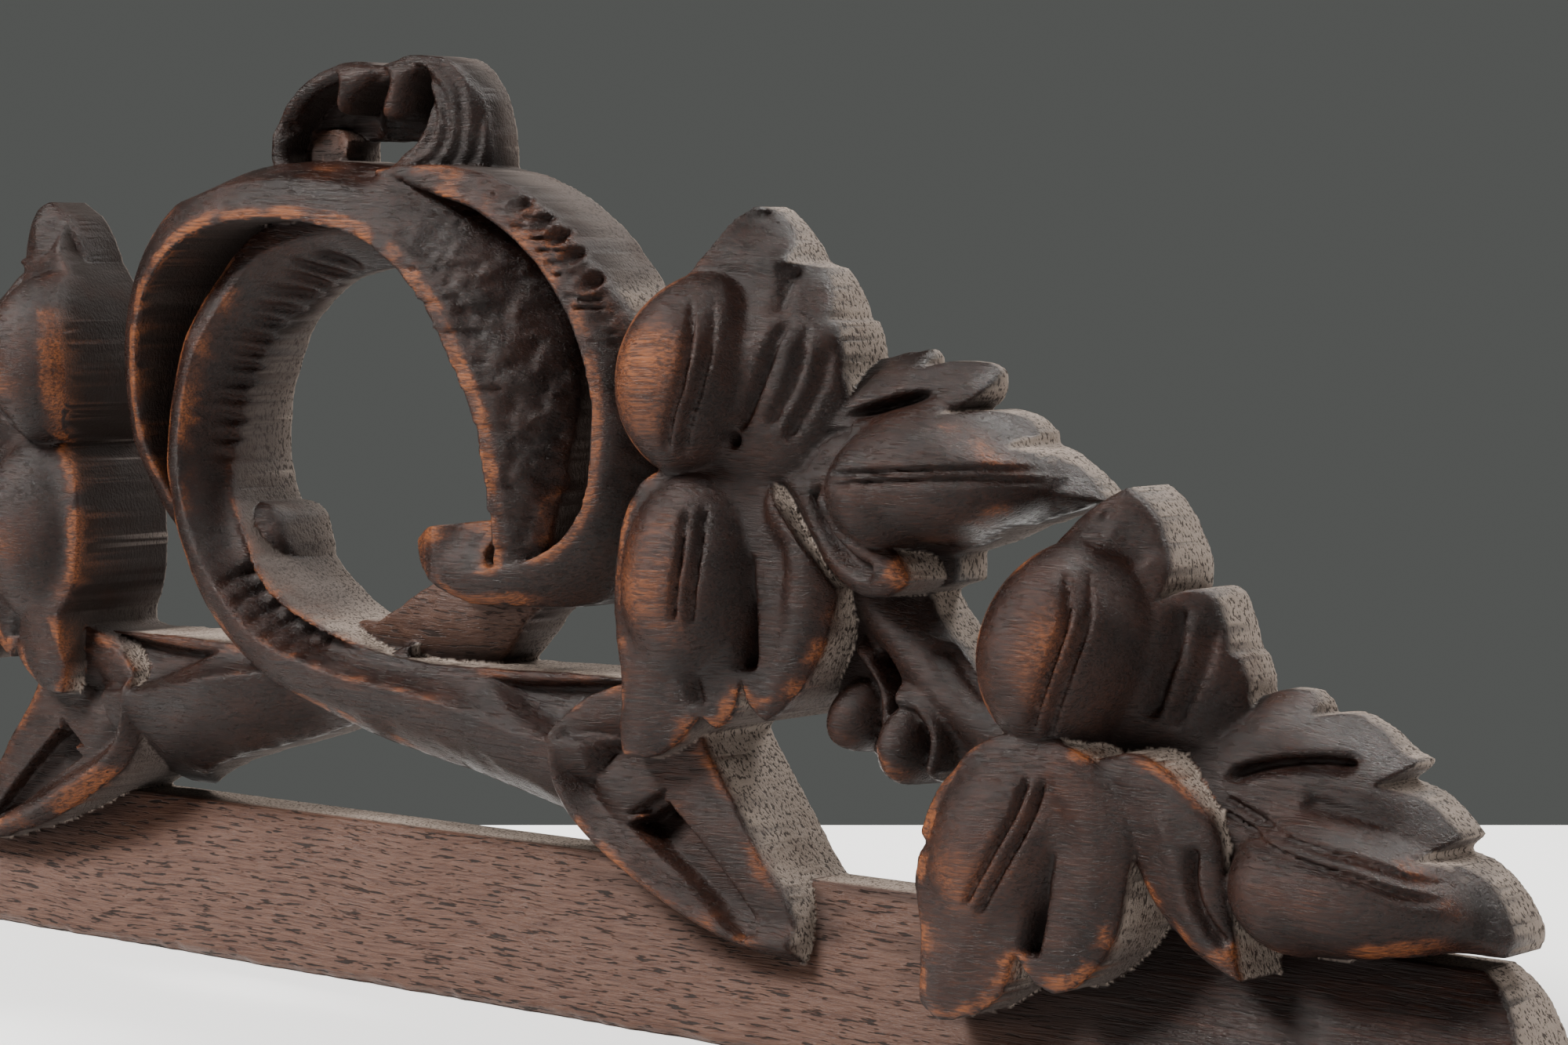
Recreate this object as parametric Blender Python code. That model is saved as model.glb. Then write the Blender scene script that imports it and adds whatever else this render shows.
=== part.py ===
"""Carved oak pediment, pierced and carved from one board.

Frame: X along the length, Y into the board (the carving faces -Y), Z up from
the flat underside.  The origin is the middle of the underside, so the flat
back is the plane y = BACK.  Sizes below are in millimetres; the mesh is
written in metres.

The board is described in front view by closed outlines sawn square to the
back.  Each outline carries a carved front, given as a depth in front of the
back plane for every point of the view.  The solid is the union of them all.
"""
import math

import bmesh
import bpy
import numpy as np

MM = 0.001

# Main sizes.
HALF_LENGTH = 240.0
RAIL_HEIGHT = 26.2
RAIL_FOOT_DEPTH = 22.5
RAIL_TOP_DEPTH = 10.0
BACK = RAIL_FOOT_DEPTH / 2.0
BOARD_DEPTH = 33.0
FULL_HEIGHT = 162.0

RIDGE_DEPTH = 26.0
RECESS_FLOOR = 6.5
BULGE_DEPTH = 30.0
VEIN_WIDTH = 0.62
VEIN_DEPTH = 1.3
ARRIS = 0.6

CELL = 0.9
FACE_BUDGET = 8200


# Plane geometry.
def spline(nodes, steps=5):
    """Smooth open curve through the nodes."""
    p = np.array(nodes, float)
    if len(p) < 3:
        return p
    first = 2.0 * p[0] - p[1]
    last = 2.0 * p[-1] - p[-2]
    q = np.vstack([first, p, last])
    out = []
    for k in range(1, len(q) - 2):
        a, b, c, d = q[k - 1], q[k], q[k + 1], q[k + 2]
        for t in np.linspace(0.0, 1.0, steps, endpoint=False):
            t2, t3 = t * t, t * t * t
            out.append(0.5 * (2.0 * b + (c - a) * t
                              + (2.0 * a - 5.0 * b + 4.0 * c - d) * t2
                              + (3.0 * b - a - 3.0 * c + d) * t3))
    out.append(q[-2])
    return np.array(out)


def outline(*runs):
    """Closed outline from smooth runs that meet at sharp corners."""
    parts = [spline(run)[:-1] for run in runs]
    return np.vstack(parts)


def edge_distance(poly, x, z):
    """Distance to the closed outline, positive inside it."""
    best = np.full(x.shape, 1.0e9)
    inside = np.zeros(x.shape, bool)
    for a, b in zip(poly, np.roll(poly, -1, axis=0)):
        ex, ez = b[0] - a[0], b[1] - a[1]
        size = ex * ex + ez * ez
        if size < 1.0e-9:
            continue
        px, pz = x - a[0], z - a[1]
        t = np.clip((px * ex + pz * ez) / size, 0.0, 1.0)
        best = np.minimum(best, (px - t * ex) ** 2 + (pz - t * ez) ** 2)
        if abs(ez) > 1.0e-9:
            spans = (a[1] > z) != (b[1] > z)
            inside ^= spans & (px < ex * pz / ez)
    return np.where(inside, 1.0, -1.0) * np.sqrt(best)


def along(path, x, z):
    """Place of the nearest point on an open path, from 0 to 1, and the
    distance to it, positive on the left of the path's direction."""
    best = np.full(x.shape, 1.0e9)
    place = np.zeros(x.shape)
    side = np.ones(x.shape)
    steps = np.hypot(*np.diff(path, axis=0).T)
    total = steps.sum()
    run = 0.0
    for a, b, size in zip(path[:-1], path[1:], steps):
        ex, ez = b[0] - a[0], b[1] - a[1]
        px, pz = x - a[0], z - a[1]
        t = np.clip((px * ex + pz * ez) / (size * size), 0.0, 1.0)
        d = (px - t * ex) ** 2 + (pz - t * ez) ** 2
        near = d < best
        best = np.where(near, d, best)
        place = np.where(near, (run + t * size) / total, place)
        side = np.where(near, np.where(ex * pz - ez * px >= 0.0, 1.0, -1.0), side)
        run += size
    return place, side * np.sqrt(best)


def smax(a, b, k):
    return 0.5 * (a + b + np.sqrt((a - b) ** 2 + k * k))


def smin(a, b, k):
    return 0.5 * (a + b - np.sqrt((a - b) ** 2 + k * k))


def ramp(v, low, high):
    t = np.clip((v - low) / (high - low), 0.0, 1.0)
    return t * t * (3.0 - 2.0 * t)


def dome(x, z, cx, cz, half_u, half_v, angle, base, rise, taper=0.0):
    """Egg-shaped swelling; half_u runs along the angle, in degrees, and the
    egg narrows towards that side by the taper."""
    c, s = math.cos(math.radians(angle)), math.sin(math.radians(angle))
    u = ((x - cx) * c + (z - cz) * s) / half_u
    v = (-(x - cx) * s + (z - cz) * c) / half_v
    v = v / np.maximum(1.0 - taper * u, 0.2)
    r = 1.0 - u * u - v * v
    return base + rise * np.where(r > 0.0, np.sqrt(np.maximum(r, 0.0)), 2.0 * np.minimum(r, 0.0))


def ridge(path, x, z, crest, half, drop):
    """Rounded fold whose crest follows a path; crest depth varies evenly
    between its two end values and the sides fall off by the drop."""
    place, off = along(path, x, z)
    top = crest[0] + (crest[1] - crest[0]) * place
    return top - drop * (off / half) ** 2


def groove(path, x, z, width, depth, fade=0.12):
    """Cut of a narrow gouge run along a path."""
    place, off = along(path, x, z)
    ends = ramp(place, 0.0, fade) * ramp(1.0 - place, 0.0, fade)
    return depth * ends * np.exp(-(off / width) ** 2)


def shift(path, offset):
    """Path moved sideways by the offset."""
    d = np.gradient(path, axis=0)
    d /= np.maximum(np.hypot(d[:, 0], d[:, 1]), 1.0e-9)[:, None]
    return path + offset * np.column_stack([-d[:, 1], d[:, 0]])


# Rail.
def rail_outline():
    end = [(221.5, RAIL_HEIGHT), (226.0, 23.0), (229.0, 18.5), (231.5, 13.0),
           (233.8, 7.5), (235.5, 3.2)]
    right = [tuple(p) for p in spline(end)]
    toe = [(HALF_LENGTH - 1.0, 3.0), (HALF_LENGTH, 2.0), (HALF_LENGTH, -4.0)]
    half = right + toe
    mirror = [(-x, z) for x, z in reversed(half)]
    return np.array(half + mirror)


def rail_front(x, z, edge):
    share = np.clip(z / RAIL_HEIGHT, 0.0, 1.0)
    swell = (RAIL_FOOT_DEPTH - RAIL_TOP_DEPTH) * share ** 1.25
    worn = np.clip(1.3 - z, 0.0, 2.0) * 0.8
    return RAIL_FOOT_DEPTH - swell - worn


# Scroll and its long stem.
STEM_RIDGE = spline([(-4.0, 131.5), (-14.0, 129.5), (-21.9, 125.6), (-28.7, 117.2), (-33.4, 108.8),
                     (-36.0, 100.0), (-36.8, 90.0), (-35.1, 82.0), (-31.5, 74.5),
                     (-26.0, 67.5), (-18.5, 61.3), (-8.5, 57.0), (6.1, 54.0),
                     (19.6, 52.6), (31.0, 50.9), (42.0, 48.4), (50.0, 46.6), (60.0, 46.0)])

STEM_OUTLINE = outline(
    [(8.0, 138.0), (-8.0, 136.5), (-22.0, 132.0), (-33.0, 123.0), (-40.0, 110.0), (-42.8, 96.0),
     (-42.4, 86.0), (-40.0, 77.0), (-35.5, 68.0), (-28.5, 59.8), (-19.0, 53.4),
     (-9.0, 49.2), (1.8, 45.2), (13.0, 41.2), (25.0, 38.0), (35.0, 35.6),
     (44.0, 32.8), (51.0, 29.6), (58.0, 25.0)],
    [(58.0, 25.0), (66.0, 30.0), (70.0, 46.0), (68.0, 56.8)],
    [(68.0, 56.8), (50.0, 57.0), (32.0, 56.6), (16.0, 56.8), (4.0, 58.8), (-7.0, 62.8),
     (-13.1, 66.0), (-19.2, 70.7), (-25.0, 76.5), (-30.0, 82.5), (-32.2, 88.0),
     (-32.8, 94.0), (-31.8, 101.5), (-29.6, 107.5), (-26.0, 114.0), (-20.5, 119.0),
     (-14.0, 122.6), (-4.0, 124.6), (8.0, 124.6)],
    [(8.0, 124.6), (10.0, 131.0), (8.0, 138.0)])

STEM_INNER = spline([(8.0, 124.6), (-4.0, 124.6), (-14.0, 122.6), (-20.5, 119.0), (-26.0, 114.0),
                     (-29.6, 107.5), (-31.8, 101.5), (-32.8, 94.0), (-32.2, 88.0),
                     (-30.0, 82.5), (-25.0, 76.5), (-19.2, 70.7), (-13.1, 66.0),
                     (-7.0, 62.8), (4.0, 58.8), (16.0, 56.8), (32.0, 56.6), (50.0, 57.0),
                     (66.0, 56.8)])


def scroll_front(x, z, edge):
    """Outer ridge, hollow face and inner lip of the scroll and stem."""
    place, off = along(STEM_RIDGE, x, z)
    into, gap = along(STEM_INNER, x, z)
    gap = np.abs(gap)
    ridge = np.interp(place, [0.0, 0.10, 0.22, 0.42, 0.60, 0.85, 1.0],
                      [12.0, 19.0, 23.5, 25.0, 26.0, 25.0, 23.0])
    lip = np.interp(into, [0.0, 0.10, 0.17, 0.24, 0.33, 0.42, 0.52, 0.60, 0.70, 0.84, 1.0],
                    [5.0, 5.5, 6.5, 11.0, 14.0, 18.0, 21.5, 20.0, 18.0, 17.0, 16.0])
    inward = np.maximum(off, 0.0)
    share = np.clip(inward / np.maximum(inward + gap, 0.5), 0.0, 1.0)
    hollow = np.interp(place, [0.0, 0.15, 0.4, 0.6, 0.75, 1.0], [0.5, 1.5, 3.0, 3.2, 2.2, 1.2])
    face = ridge + (lip - ridge) * share - hollow * np.sin(math.pi * share)
    bevel = np.maximum(-off, 0.0)
    outer = ridge - 0.060 * bevel ** 2 - 0.10 * bevel
    return np.where(off > 0.0, face, outer)


HOLLOW_OUTLINE = outline([(33.0, 55.4), (44.0, 55.4), (56.0, 56.2), (72.0, 57.6)],
                         [(72.0, 57.6), (72.0, 47.6)],
                         [(72.0, 47.6), (60.0, 46.9), (51.8, 47.2), (43.0, 50.4), (33.0, 55.4)])


def stem_front(x, z, edge):
    face = scroll_front(x, z, edge)
    inside = edge_distance(HOLLOW_OUTLINE, x, z)
    return face - 3.2 * ramp(inside, -0.3, 1.8)


# Top strap.
STRAP_RIDGE = spline([(-42.0, 78.0), (-46.0, 86.0), (-48.2, 96.0), (-48.6, 106.0), (-47.0, 115.0),
                      (-42.5, 123.0), (-35.0, 128.6), (-27.0, 131.6), (-16.0, 133.0),
                      (-4.0, 132.8), (6.0, 131.4), (14.0, 128.8), (21.0, 124.4),
                      (27.5, 118.0), (33.0, 109.6), (37.4, 101.5), (39.6, 94.0),
                      (40.6, 88.0), (41.0, 80.0), (41.0, 74.0)])

STRAP_OUTLINE = outline(
    [(-40.0, 73.0), (-46.5, 75.5), (-53.0, 82.5), (-58.0, 92.0), (-59.6, 102.0), (-58.6, 113.0),
     (-54.5, 123.0), (-48.0, 131.5), (-39.5, 138.0), (-29.0, 142.0), (-16.0, 143.4),
     (0.0, 143.0), (14.0, 140.6), (27.0, 135.6), (37.0, 129.0), (44.5, 120.0),
     (49.0, 110.0), (51.0, 100.0), (50.6, 88.0), (48.0, 74.0)],
    [(48.0, 74.0), (41.0, 74.0)],
    [(41.0, 74.0), (41.0, 80.0), (40.6, 88.0), (39.6, 94.0), (37.4, 101.5), (33.0, 109.6),
     (27.5, 118.0), (21.0, 124.4), (14.0, 128.8), (6.0, 131.4), (-4.0, 132.8),
     (-16.0, 133.0), (-27.0, 131.6), (-35.0, 128.6), (-42.5, 123.0), (-47.0, 115.0),
     (-48.6, 106.0), (-48.2, 96.0), (-46.0, 86.0), (-42.0, 78.0)],
    [(-42.0, 78.0), (-40.0, 73.0)])


def strap_front(x, z, edge):
    """Face that falls from the worn inner edge to the outer one."""
    place, off = along(STRAP_RIDGE, x, z)
    ridge = np.interp(place, [0.0, 0.10, 0.3, 0.5, 0.7, 0.9, 1.0],
                      [17.0, 23.0, 26.0, 27.0, 26.5, 25.5, 23.5])
    out = np.abs(off)
    fall = np.interp(place, [0.0, 0.4, 0.6, 1.0], [0.070, 0.050, 0.060, 0.075])
    return ridge - fall * out ** 2 - 0.12 * out


RECESS_LEFT = outline(
    [(-36.0, 70.0), (-46.0, 77.0), (-53.0, 88.0), (-56.0, 102.0), (-54.0, 116.0),
     (-46.0, 128.0), (-32.0, 136.0), (-18.0, 138.0)],
    [(-18.0, 138.0), (-22.0, 128.0), (-34.0, 116.0), (-38.0, 100.0), (-37.0, 84.0),
     (-34.0, 72.0), (-36.0, 70.0)])

RECESS_RIGHT = outline(
    [(0.0, 139.0), (20.0, 139.0), (40.0, 133.0), (54.0, 122.0), (62.0, 108.0),
     (63.0, 94.0), (60.0, 80.0), (52.0, 72.0), (40.0, 70.0)],
    [(40.0, 70.0), (43.0, 82.0), (42.0, 96.0), (34.0, 112.0), (22.0, 126.0), (8.0, 133.0),
     (0.0, 139.0)])


def recess_front(x, z, edge):
    return np.full(x.shape, RECESS_FLOOR)


# Right scroll.
HOOP_RIDGE = spline([(4.0, 140.6), (14.3, 139.9), (25.7, 136.8), (33.1, 134.8), (40.4, 131.2),
                     (47.6, 126.0), (53.2, 119.8), (57.6, 112.5), (60.0, 104.5),
                     (60.4, 96.0), (59.4, 87.5), (56.0, 81.2), (51.0, 77.2),
                     (44.5, 74.6), (37.5, 73.6), (31.0, 74.2)])

HOOP_OUTLINE = outline(
    [(4.0, 140.8), (11.0, 141.9), (21.0, 142.2), (32.0, 140.6), (41.0, 137.2), (49.0, 132.4),
     (56.0, 126.0), (62.5, 118.0), (68.0, 108.0), (70.6, 97.0), (70.2, 86.0),
     (66.0, 77.0), (59.0, 70.8), (51.8, 67.9), (40.9, 68.0), (32.8, 67.9)],
    [(32.8, 67.9), (28.0, 70.3), (22.6, 73.9), (20.5, 76.7)],
    [(20.5, 76.7), (21.1, 78.8), (25.5, 80.7)],
    [(25.5, 80.7), (34.0, 81.9), (41.0, 82.4)],
    [(41.0, 82.4), (38.4, 77.0), (40.0, 74.6), (44.5, 75.2), (51.0, 77.6),
     (56.0, 81.6), (59.2, 87.5), (60.2, 96.0), (59.8, 104.5), (57.4, 112.5),
     (53.0, 119.8), (47.4, 126.0), (40.2, 131.2), (33.0, 134.8), (25.6, 136.8),
     (14.3, 139.9), (4.0, 141.4)])


def nib_face(x, z):
    """Flat end of the hoop: a bevel to the left and a facet below."""
    return 24.5 - 0.5 * np.maximum(27.8 - x, 0.0) - 0.8 * np.maximum(72.0 - z, 0.0)


def hoop_front(x, z, edge):
    """Inner ridge and a broad face that rolls off to the outer edge."""
    place, off = along(HOOP_RIDGE, x, z)
    ridge = np.interp(place, [0.0, 0.12, 0.3, 0.6, 0.8, 0.92, 1.0],
                      [18.0, 20.5, 20.5, 20.0, 21.0, 24.0, 25.0])
    out = np.maximum(off, 0.0)
    fall = np.interp(place, [0.0, 0.12, 0.3, 0.6, 0.8, 1.0], [0.085, 0.095, 0.12, 0.12, 0.10, 0.085])
    face = ridge - 0.10 * out - fall * out ** 2
    inner = np.maximum(-off, 0.0)
    whole = np.where(off > 0.0, face, ridge - 0.55 * inner)
    nib = ramp(32.5 - x, 0.0, 4.0) * (z < 100.0)
    return whole + (nib_face(x, z) - whole) * nib


# Lower block.
BLOCK_OUTLINE = outline(
    [(-6.0, 55.0), (-4.0, 61.8), (2.0, 62.4), (8.0, 65.0), (16.0, 69.6), (25.0, 74.0),
     (34.0, 76.0), (42.0, 72.0)],
    [(42.0, 72.0), (45.7, 69.0)],
    [(45.7, 69.0), (39.0, 66.2), (34.6, 61.8), (29.9, 57.0)],
    [(29.9, 57.0), (28.0, 52.0), (-6.0, 52.0)],
    [(-6.0, 52.0), (-6.0, 55.0)])


def block_front(x, z, edge):
    body = dome(x, z, 16.0, 64.0, 30.0, 12.5, 12.0, 4.0, 10.5)
    return np.maximum(body, 3.0)


# Knob.
KNOB_OUTLINE = outline(
    [(-31.0, 82.6), (-26.5, 82.0), (-23.2, 80.2), (-22.0, 77.0)],
    [(-22.0, 77.0), (-21.0, 73.5), (-21.5, 70.2), (-24.0, 68.0)],
    [(-24.0, 68.0), (-34.0, 74.0), (-31.0, 82.6)])


def knob_front(x, z, edge):
    return dome(x, z, -27.0, 76.0, 8.0, 7.0, -62.0, 6.5, 9.0)


# Left stem.
def mirrored(points):
    return np.array([(-px, pz) for px, pz in points])


LEFT_STEM_OUTLINE = mirrored(outline(
    [(-14.0, 50.0), (-2.0, 46.0), (8.0, 43.0), (18.0, 40.0), (30.0, 36.8), (42.0, 33.4),
     (51.0, 29.6), (58.0, 25.0)],
    [(58.0, 25.0), (66.0, 30.0), (70.0, 46.0), (68.0, 56.8)],
    [(68.0, 56.8), (48.0, 57.0), (28.0, 56.8), (10.0, 58.0), (-4.0, 62.0), (-14.0, 62.0)],
    [(-14.0, 62.0), (-14.0, 50.0)]))


def left_stem_front(x, z, edge):
    """The stem that passes behind: sunk where the other one crosses."""
    face = stem_front(-x, z, edge)
    reach = ramp(-x, 6.0, 34.0)
    return face - 9.0 * (1.0 - reach)


# Spear leaf.
LEAF_BEAD = spline([(53.4, 46.6), (54.8, 40.4), (58.4, 35.2), (64.6, 30.6), (72.4, 26.4),
                    (80.6, 22.4), (88.6, 19.4), (96.4, 17.6), (104.6, 17.0)])

LEAF_OUTLINE = outline(
    [(51.8, 45.4), (52.6, 39.6), (56.2, 33.4), (62.6, 28.8), (70.4, 24.6), (78.8, 20.6),
     (87.2, 17.6), (95.0, 15.6), (103.8, 14.4)],
    [(103.8, 14.4), (103.6, 18.4), (100.8, 24.0), (96.2, 29.6), (91.4, 36.4), (86.2, 43.4),
     (82.0, 50.0)],
    [(82.0, 50.0), (78.0, 58.0), (64.0, 56.0), (55.0, 51.0), (51.8, 45.4)])

LEAF_SCOOP = spline([(66.0, 46.6), (60.6, 44.4), (58.4, 41.0), (60.4, 36.6), (66.0, 32.4),
                     (74.0, 28.0)])

LEAF_MIDRIB = spline([(72.4, 36.6), (77.4, 32.8), (84.4, 27.4), (91.4, 22.2), (96.0, 18.4)])


def leaf_front(x, z, edge):
    """Beaded lower edge, two cheeks and a sunk midrib with a deep eye."""
    place, off = along(LEAF_BEAD, x, z)
    reach = np.where(off > 0.0, off, 0.0)
    bead = np.interp(place, [0.0, 0.2, 0.5, 0.8, 1.0], [23.6, 24.2, 24.0, 23.2, 21.4])
    cheek = bead - 1.0 - 0.75 * np.minimum(reach, 4.0) - 0.26 * np.maximum(reach - 4.0, 0.0)
    cheek = smax(cheek, bead - 0.35 * off ** 2, 0.6)
    start, aside = along(LEAF_SCOOP, x, z)
    cheek = cheek - 2.6 * ramp(1.0 - start, 0.0, 0.7) * np.exp(-(aside / 2.6) ** 2)
    rib, side = along(LEAF_MIDRIB, x, z)
    half = np.interp(rib, [0.0, 0.10, 0.30, 1.0], [3.4, 3.0, 2.3, 1.9])
    sunk = np.interp(rib, [0.0, 0.15, 0.3, 1.0], [8.0, 6.5, 4.2, 2.6])
    inside = ramp(half - np.abs(side), -0.2, 0.5)
    below = np.where(off < 0.0, 0.9 * np.abs(off), 0.0)
    return cheek - sunk * inside - below


# Clusters.
class Lobe:
    """Leaf lobe: a sawn outline whose carved face rises from a thin lip,
    with swellings, folds, a double vein and gouged furrows."""

    def __init__(self, line, lip, rise, reach, cap=30.0):
        self.line = line
        self.lip = lip
        self.rise = rise
        self.reach = reach
        self.cap = cap
        self.eggs = []
        self.folds = []
        self.furrows = []
        self.pits = []
        self.facets = []
        self.vein = None

    def egg(self, *sizes):
        self.eggs.append(sizes)
        return self

    def fold(self, nodes, crest, half, drop):
        self.folds.append((spline(nodes), crest, half, drop))
        return self

    def furrow(self, nodes, width, depth):
        self.furrows.append((spline(nodes), width, depth))
        return self

    def pit(self, cx, cz, radius, depth):
        self.pits.append((cx, cz, radius, depth))
        return self

    def facet(self, plane):
        self.facets.append(plane)
        return self

    def veined(self, nodes, gap=1.3):
        self.vein = (spline(nodes), gap)
        return self

    def front(self, x, z, edge):
        ref_x, ref_z, depth, slope_x, slope_z = self.lip
        lip = depth + slope_x * (x - ref_x) + slope_z * (z - ref_z)
        lip = np.clip(lip, 2.5, self.cap)
        face = lip + self.rise * (1.0 - np.exp(-np.maximum(edge, 0.0) / self.reach))
        for plane in self.facets:
            face = smax(face, plane(x, z), 0.8)
        for path, crest, half, drop in self.folds:
            face = smax(face, ridge(path, x, z, crest, half, drop), 1.6)
        for path, width, cut in self.furrows:
            face = face - groove(path, x, z, width, cut)
        for egg in self.eggs:
            face = smax(face, dome(x, z, *egg), 1.0)
        for cx, cz, radius, cut in self.pits:
            face = face - cut * np.exp(-((x - cx) ** 2 + (z - cz) ** 2) / radius ** 2)
        if self.vein:
            mid, gap = self.vein
            for side in (-gap, gap):
                face = face - groove(shift(mid, side), x, z, VEIN_WIDTH, VEIN_DEPTH)
        return face


def tip_facet(x, z):
    """Flat facet on the tip of the upper lobe, falling towards its top."""
    above = np.maximum(z - 126.0, 0.0)
    side = 0.18 * (x - 88.0) + above * (0.2 + 0.14 * np.maximum(x - 82.0, 0.0))
    return 13.8 - side - 3.0 * np.maximum(x - 95.6, 0.0)


UPPER_ONE = Lobe(
    outline([(77.0, 88.0), (71.6, 96.0), (69.6, 104.0), (70.6, 112.0), (74.0, 119.0),
             (78.6, 124.6), (81.6, 128.0), (83.6, 132.0), (85.6, 134.8)],
            [(85.6, 134.8), (88.4, 133.4), (91.0, 131.2), (93.6, 128.4), (95.6, 125.6)],
            [(95.6, 125.6), (97.6, 124.9), (99.6, 124.2), (101.8, 121.6), (103.7, 118.2),
             (104.2, 116.4)],
            [(104.2, 116.4), (105.6, 116.2), (106.6, 114.0), (107.1, 111.4)],
            [(107.1, 111.4), (108.0, 100.0), (102.0, 88.0), (90.0, 82.0), (77.0, 88.0)]),
    (100.0, 120.0, 9.4, 0.05, -0.45), 8.6, 7.0, 12.5)
UPPER_ONE.facet(tip_facet)
UPPER_ONE.egg(80.4, 107.0, 17.4, 13.8, 80.0, 12.0, BULGE_DEPTH - 11.6)
UPPER_ONE.veined([(91.4, 121.0), (91.8, 115.0), (90.6, 107.4), (87.2, 100.4), (81.0, 93.0)], 1.1)
UPPER_ONE.furrow([(98.8, 117.0), (97.4, 110.4), (94.6, 103.4), (91.8, 98.4)], 1.0, 1.8)
UPPER_ONE.pit(92.2, 98.6, 1.0, 4.0)
UPPER_ONE.furrow([(102.6, 116.0), (101.6, 108.0), (97.6, 99.0)], 0.9, 1.3)
UPPER_ONE.furrow([(105.4, 112.4), (104.4, 105.0), (100.0, 97.0)], 0.9, 1.2)
UPPER_ONE.furrow([(95.0, 125.6), (95.9, 121.6), (97.0, 117.0)], 1.1, 1.5)

RIGHT_ONE = Lobe(
    outline([(96.0, 98.0), (102.0, 107.0), (109.0, 110.4), (117.4, 111.9)],
            [(117.4, 111.9), (118.5, 110.8), (118.8, 109.2)],
            [(118.8, 109.2), (124.6, 110.2), (130.2, 109.2), (131.3, 107.0), (130.4, 104.2),
             (128.2, 102.4)],
            [(128.2, 102.4), (133.2, 102.7), (138.2, 101.7), (141.2, 99.4)],
            [(141.2, 99.4), (141.4, 97.6)],
            [(141.4, 97.6), (145.2, 96.3), (149.6, 93.5), (154.4, 89.4)],
            [(154.4, 89.4), (147.0, 87.0), (139.4, 84.6), (133.0, 82.0), (124.0, 79.6),
             (114.0, 79.0), (104.0, 82.0), (94.0, 88.0), (96.0, 98.0)]),
    (125.0, 106.0, 3.4, -0.02, -0.25), 12.0, 6.0, 12.0)
RIGHT_ONE.egg(129.0, 92.2, 19.5, 10.6, -2.0, 9.0, 17.0, 0.28)
RIGHT_ONE.egg(119.6, 90.2, 10.6, 10.2, 0.0, 12.0, 14.6)
RIGHT_ONE.veined([(112.0, 92.4), (118.0, 93.2), (127.0, 93.8), (137.0, 93.8), (149.0, 92.8)], 0.9)
RIGHT_ONE.furrow([(107.6, 98.4), (111.6, 101.2), (118.0, 104.0), (125.6, 105.4)], 1.1, 4.6)
RIGHT_ONE.furrow([(103.0, 97.4), (107.6, 98.8), (112.0, 99.4)], 0.8, 1.6)

LOWER_ONE = Lobe(
    outline([(78.0, 93.0), (73.4, 91.0), (70.0, 87.0), (68.4, 82.0), (67.6, 76.0),
             (67.6, 70.0), (68.6, 64.6), (70.6, 60.4)],
            [(70.6, 60.4), (70.8, 55.0), (69.8, 50.0), (70.6, 45.2)],
            [(70.6, 45.2), (76.4, 45.6), (82.0, 48.6), (86.2, 53.0)],
            [(86.2, 53.0), (88.6, 50.8)],
            [(88.6, 50.8), (92.4, 53.6), (94.0, 59.0)],
            [(94.0, 59.0), (95.2, 55.4), (98.4, 52.6)],
            [(98.4, 52.6), (102.6, 55.8), (106.4, 60.8), (109.2, 67.0), (110.6, 74.4)],
            [(110.6, 74.4), (106.0, 82.0), (98.0, 90.0), (88.0, 95.0), (78.0, 93.0)]),
    (84.0, 56.0, 20.8, -0.14, -0.06), 2.4, 3.0)
LOWER_ONE.egg(82.0, 74.6, 18.4, 13.6, 84.0, 15.0, BULGE_DEPTH - 15.0)
LOWER_ONE.veined([(88.2, 89.0), (89.4, 84.0), (89.8, 77.0), (88.0, 69.8), (84.8, 63.4)], 1.1)
LOWER_ONE.fold([(101.6, 87.0), (105.4, 80.8), (105.0, 71.0), (102.4, 62.0), (98.8, 55.6)],
               (21.6, 21.0), 4.6, 3.2)
LOWER_ONE.fold([(76.0, 60.0), (76.4, 53.0), (74.6, 47.6)], (24.6, 22.6), 7.0, 2.4)
LOWER_ONE.furrow([(93.4, 80.0), (93.6, 74.6), (94.4, 68.4), (94.8, 60.0)], 1.5, 6.0)
LOWER_ONE.furrow([(84.6, 60.0), (86.0, 54.4)], 1.4, 1.8)

HOOK_ONE = Lobe(
    outline([(96.0, 92.0), (100.6, 88.0), (104.8, 82.6), (109.2, 77.4), (115.0, 74.0), (121.6, 73.8),
             (126.4, 76.4)],
            [(126.4, 76.4), (124.0, 80.4), (118.0, 84.0), (114.0, 88.0), (112.0, 94.0), (96.0, 92.0)]),
    (112.0, 78.0, 17.6, 0.10, -0.06), 2.6, 1.6)
HOOK_ONE.furrow([(106.4, 91.0), (109.4, 85.0), (114.6, 79.6), (121.0, 77.4)], 1.3, 3.0)
HOOK_ONE.fold([(110.4, 88.0), (113.0, 83.6), (117.8, 80.4), (123.0, 78.8)], (21.6, 19.6), 2.4, 2.8)

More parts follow.
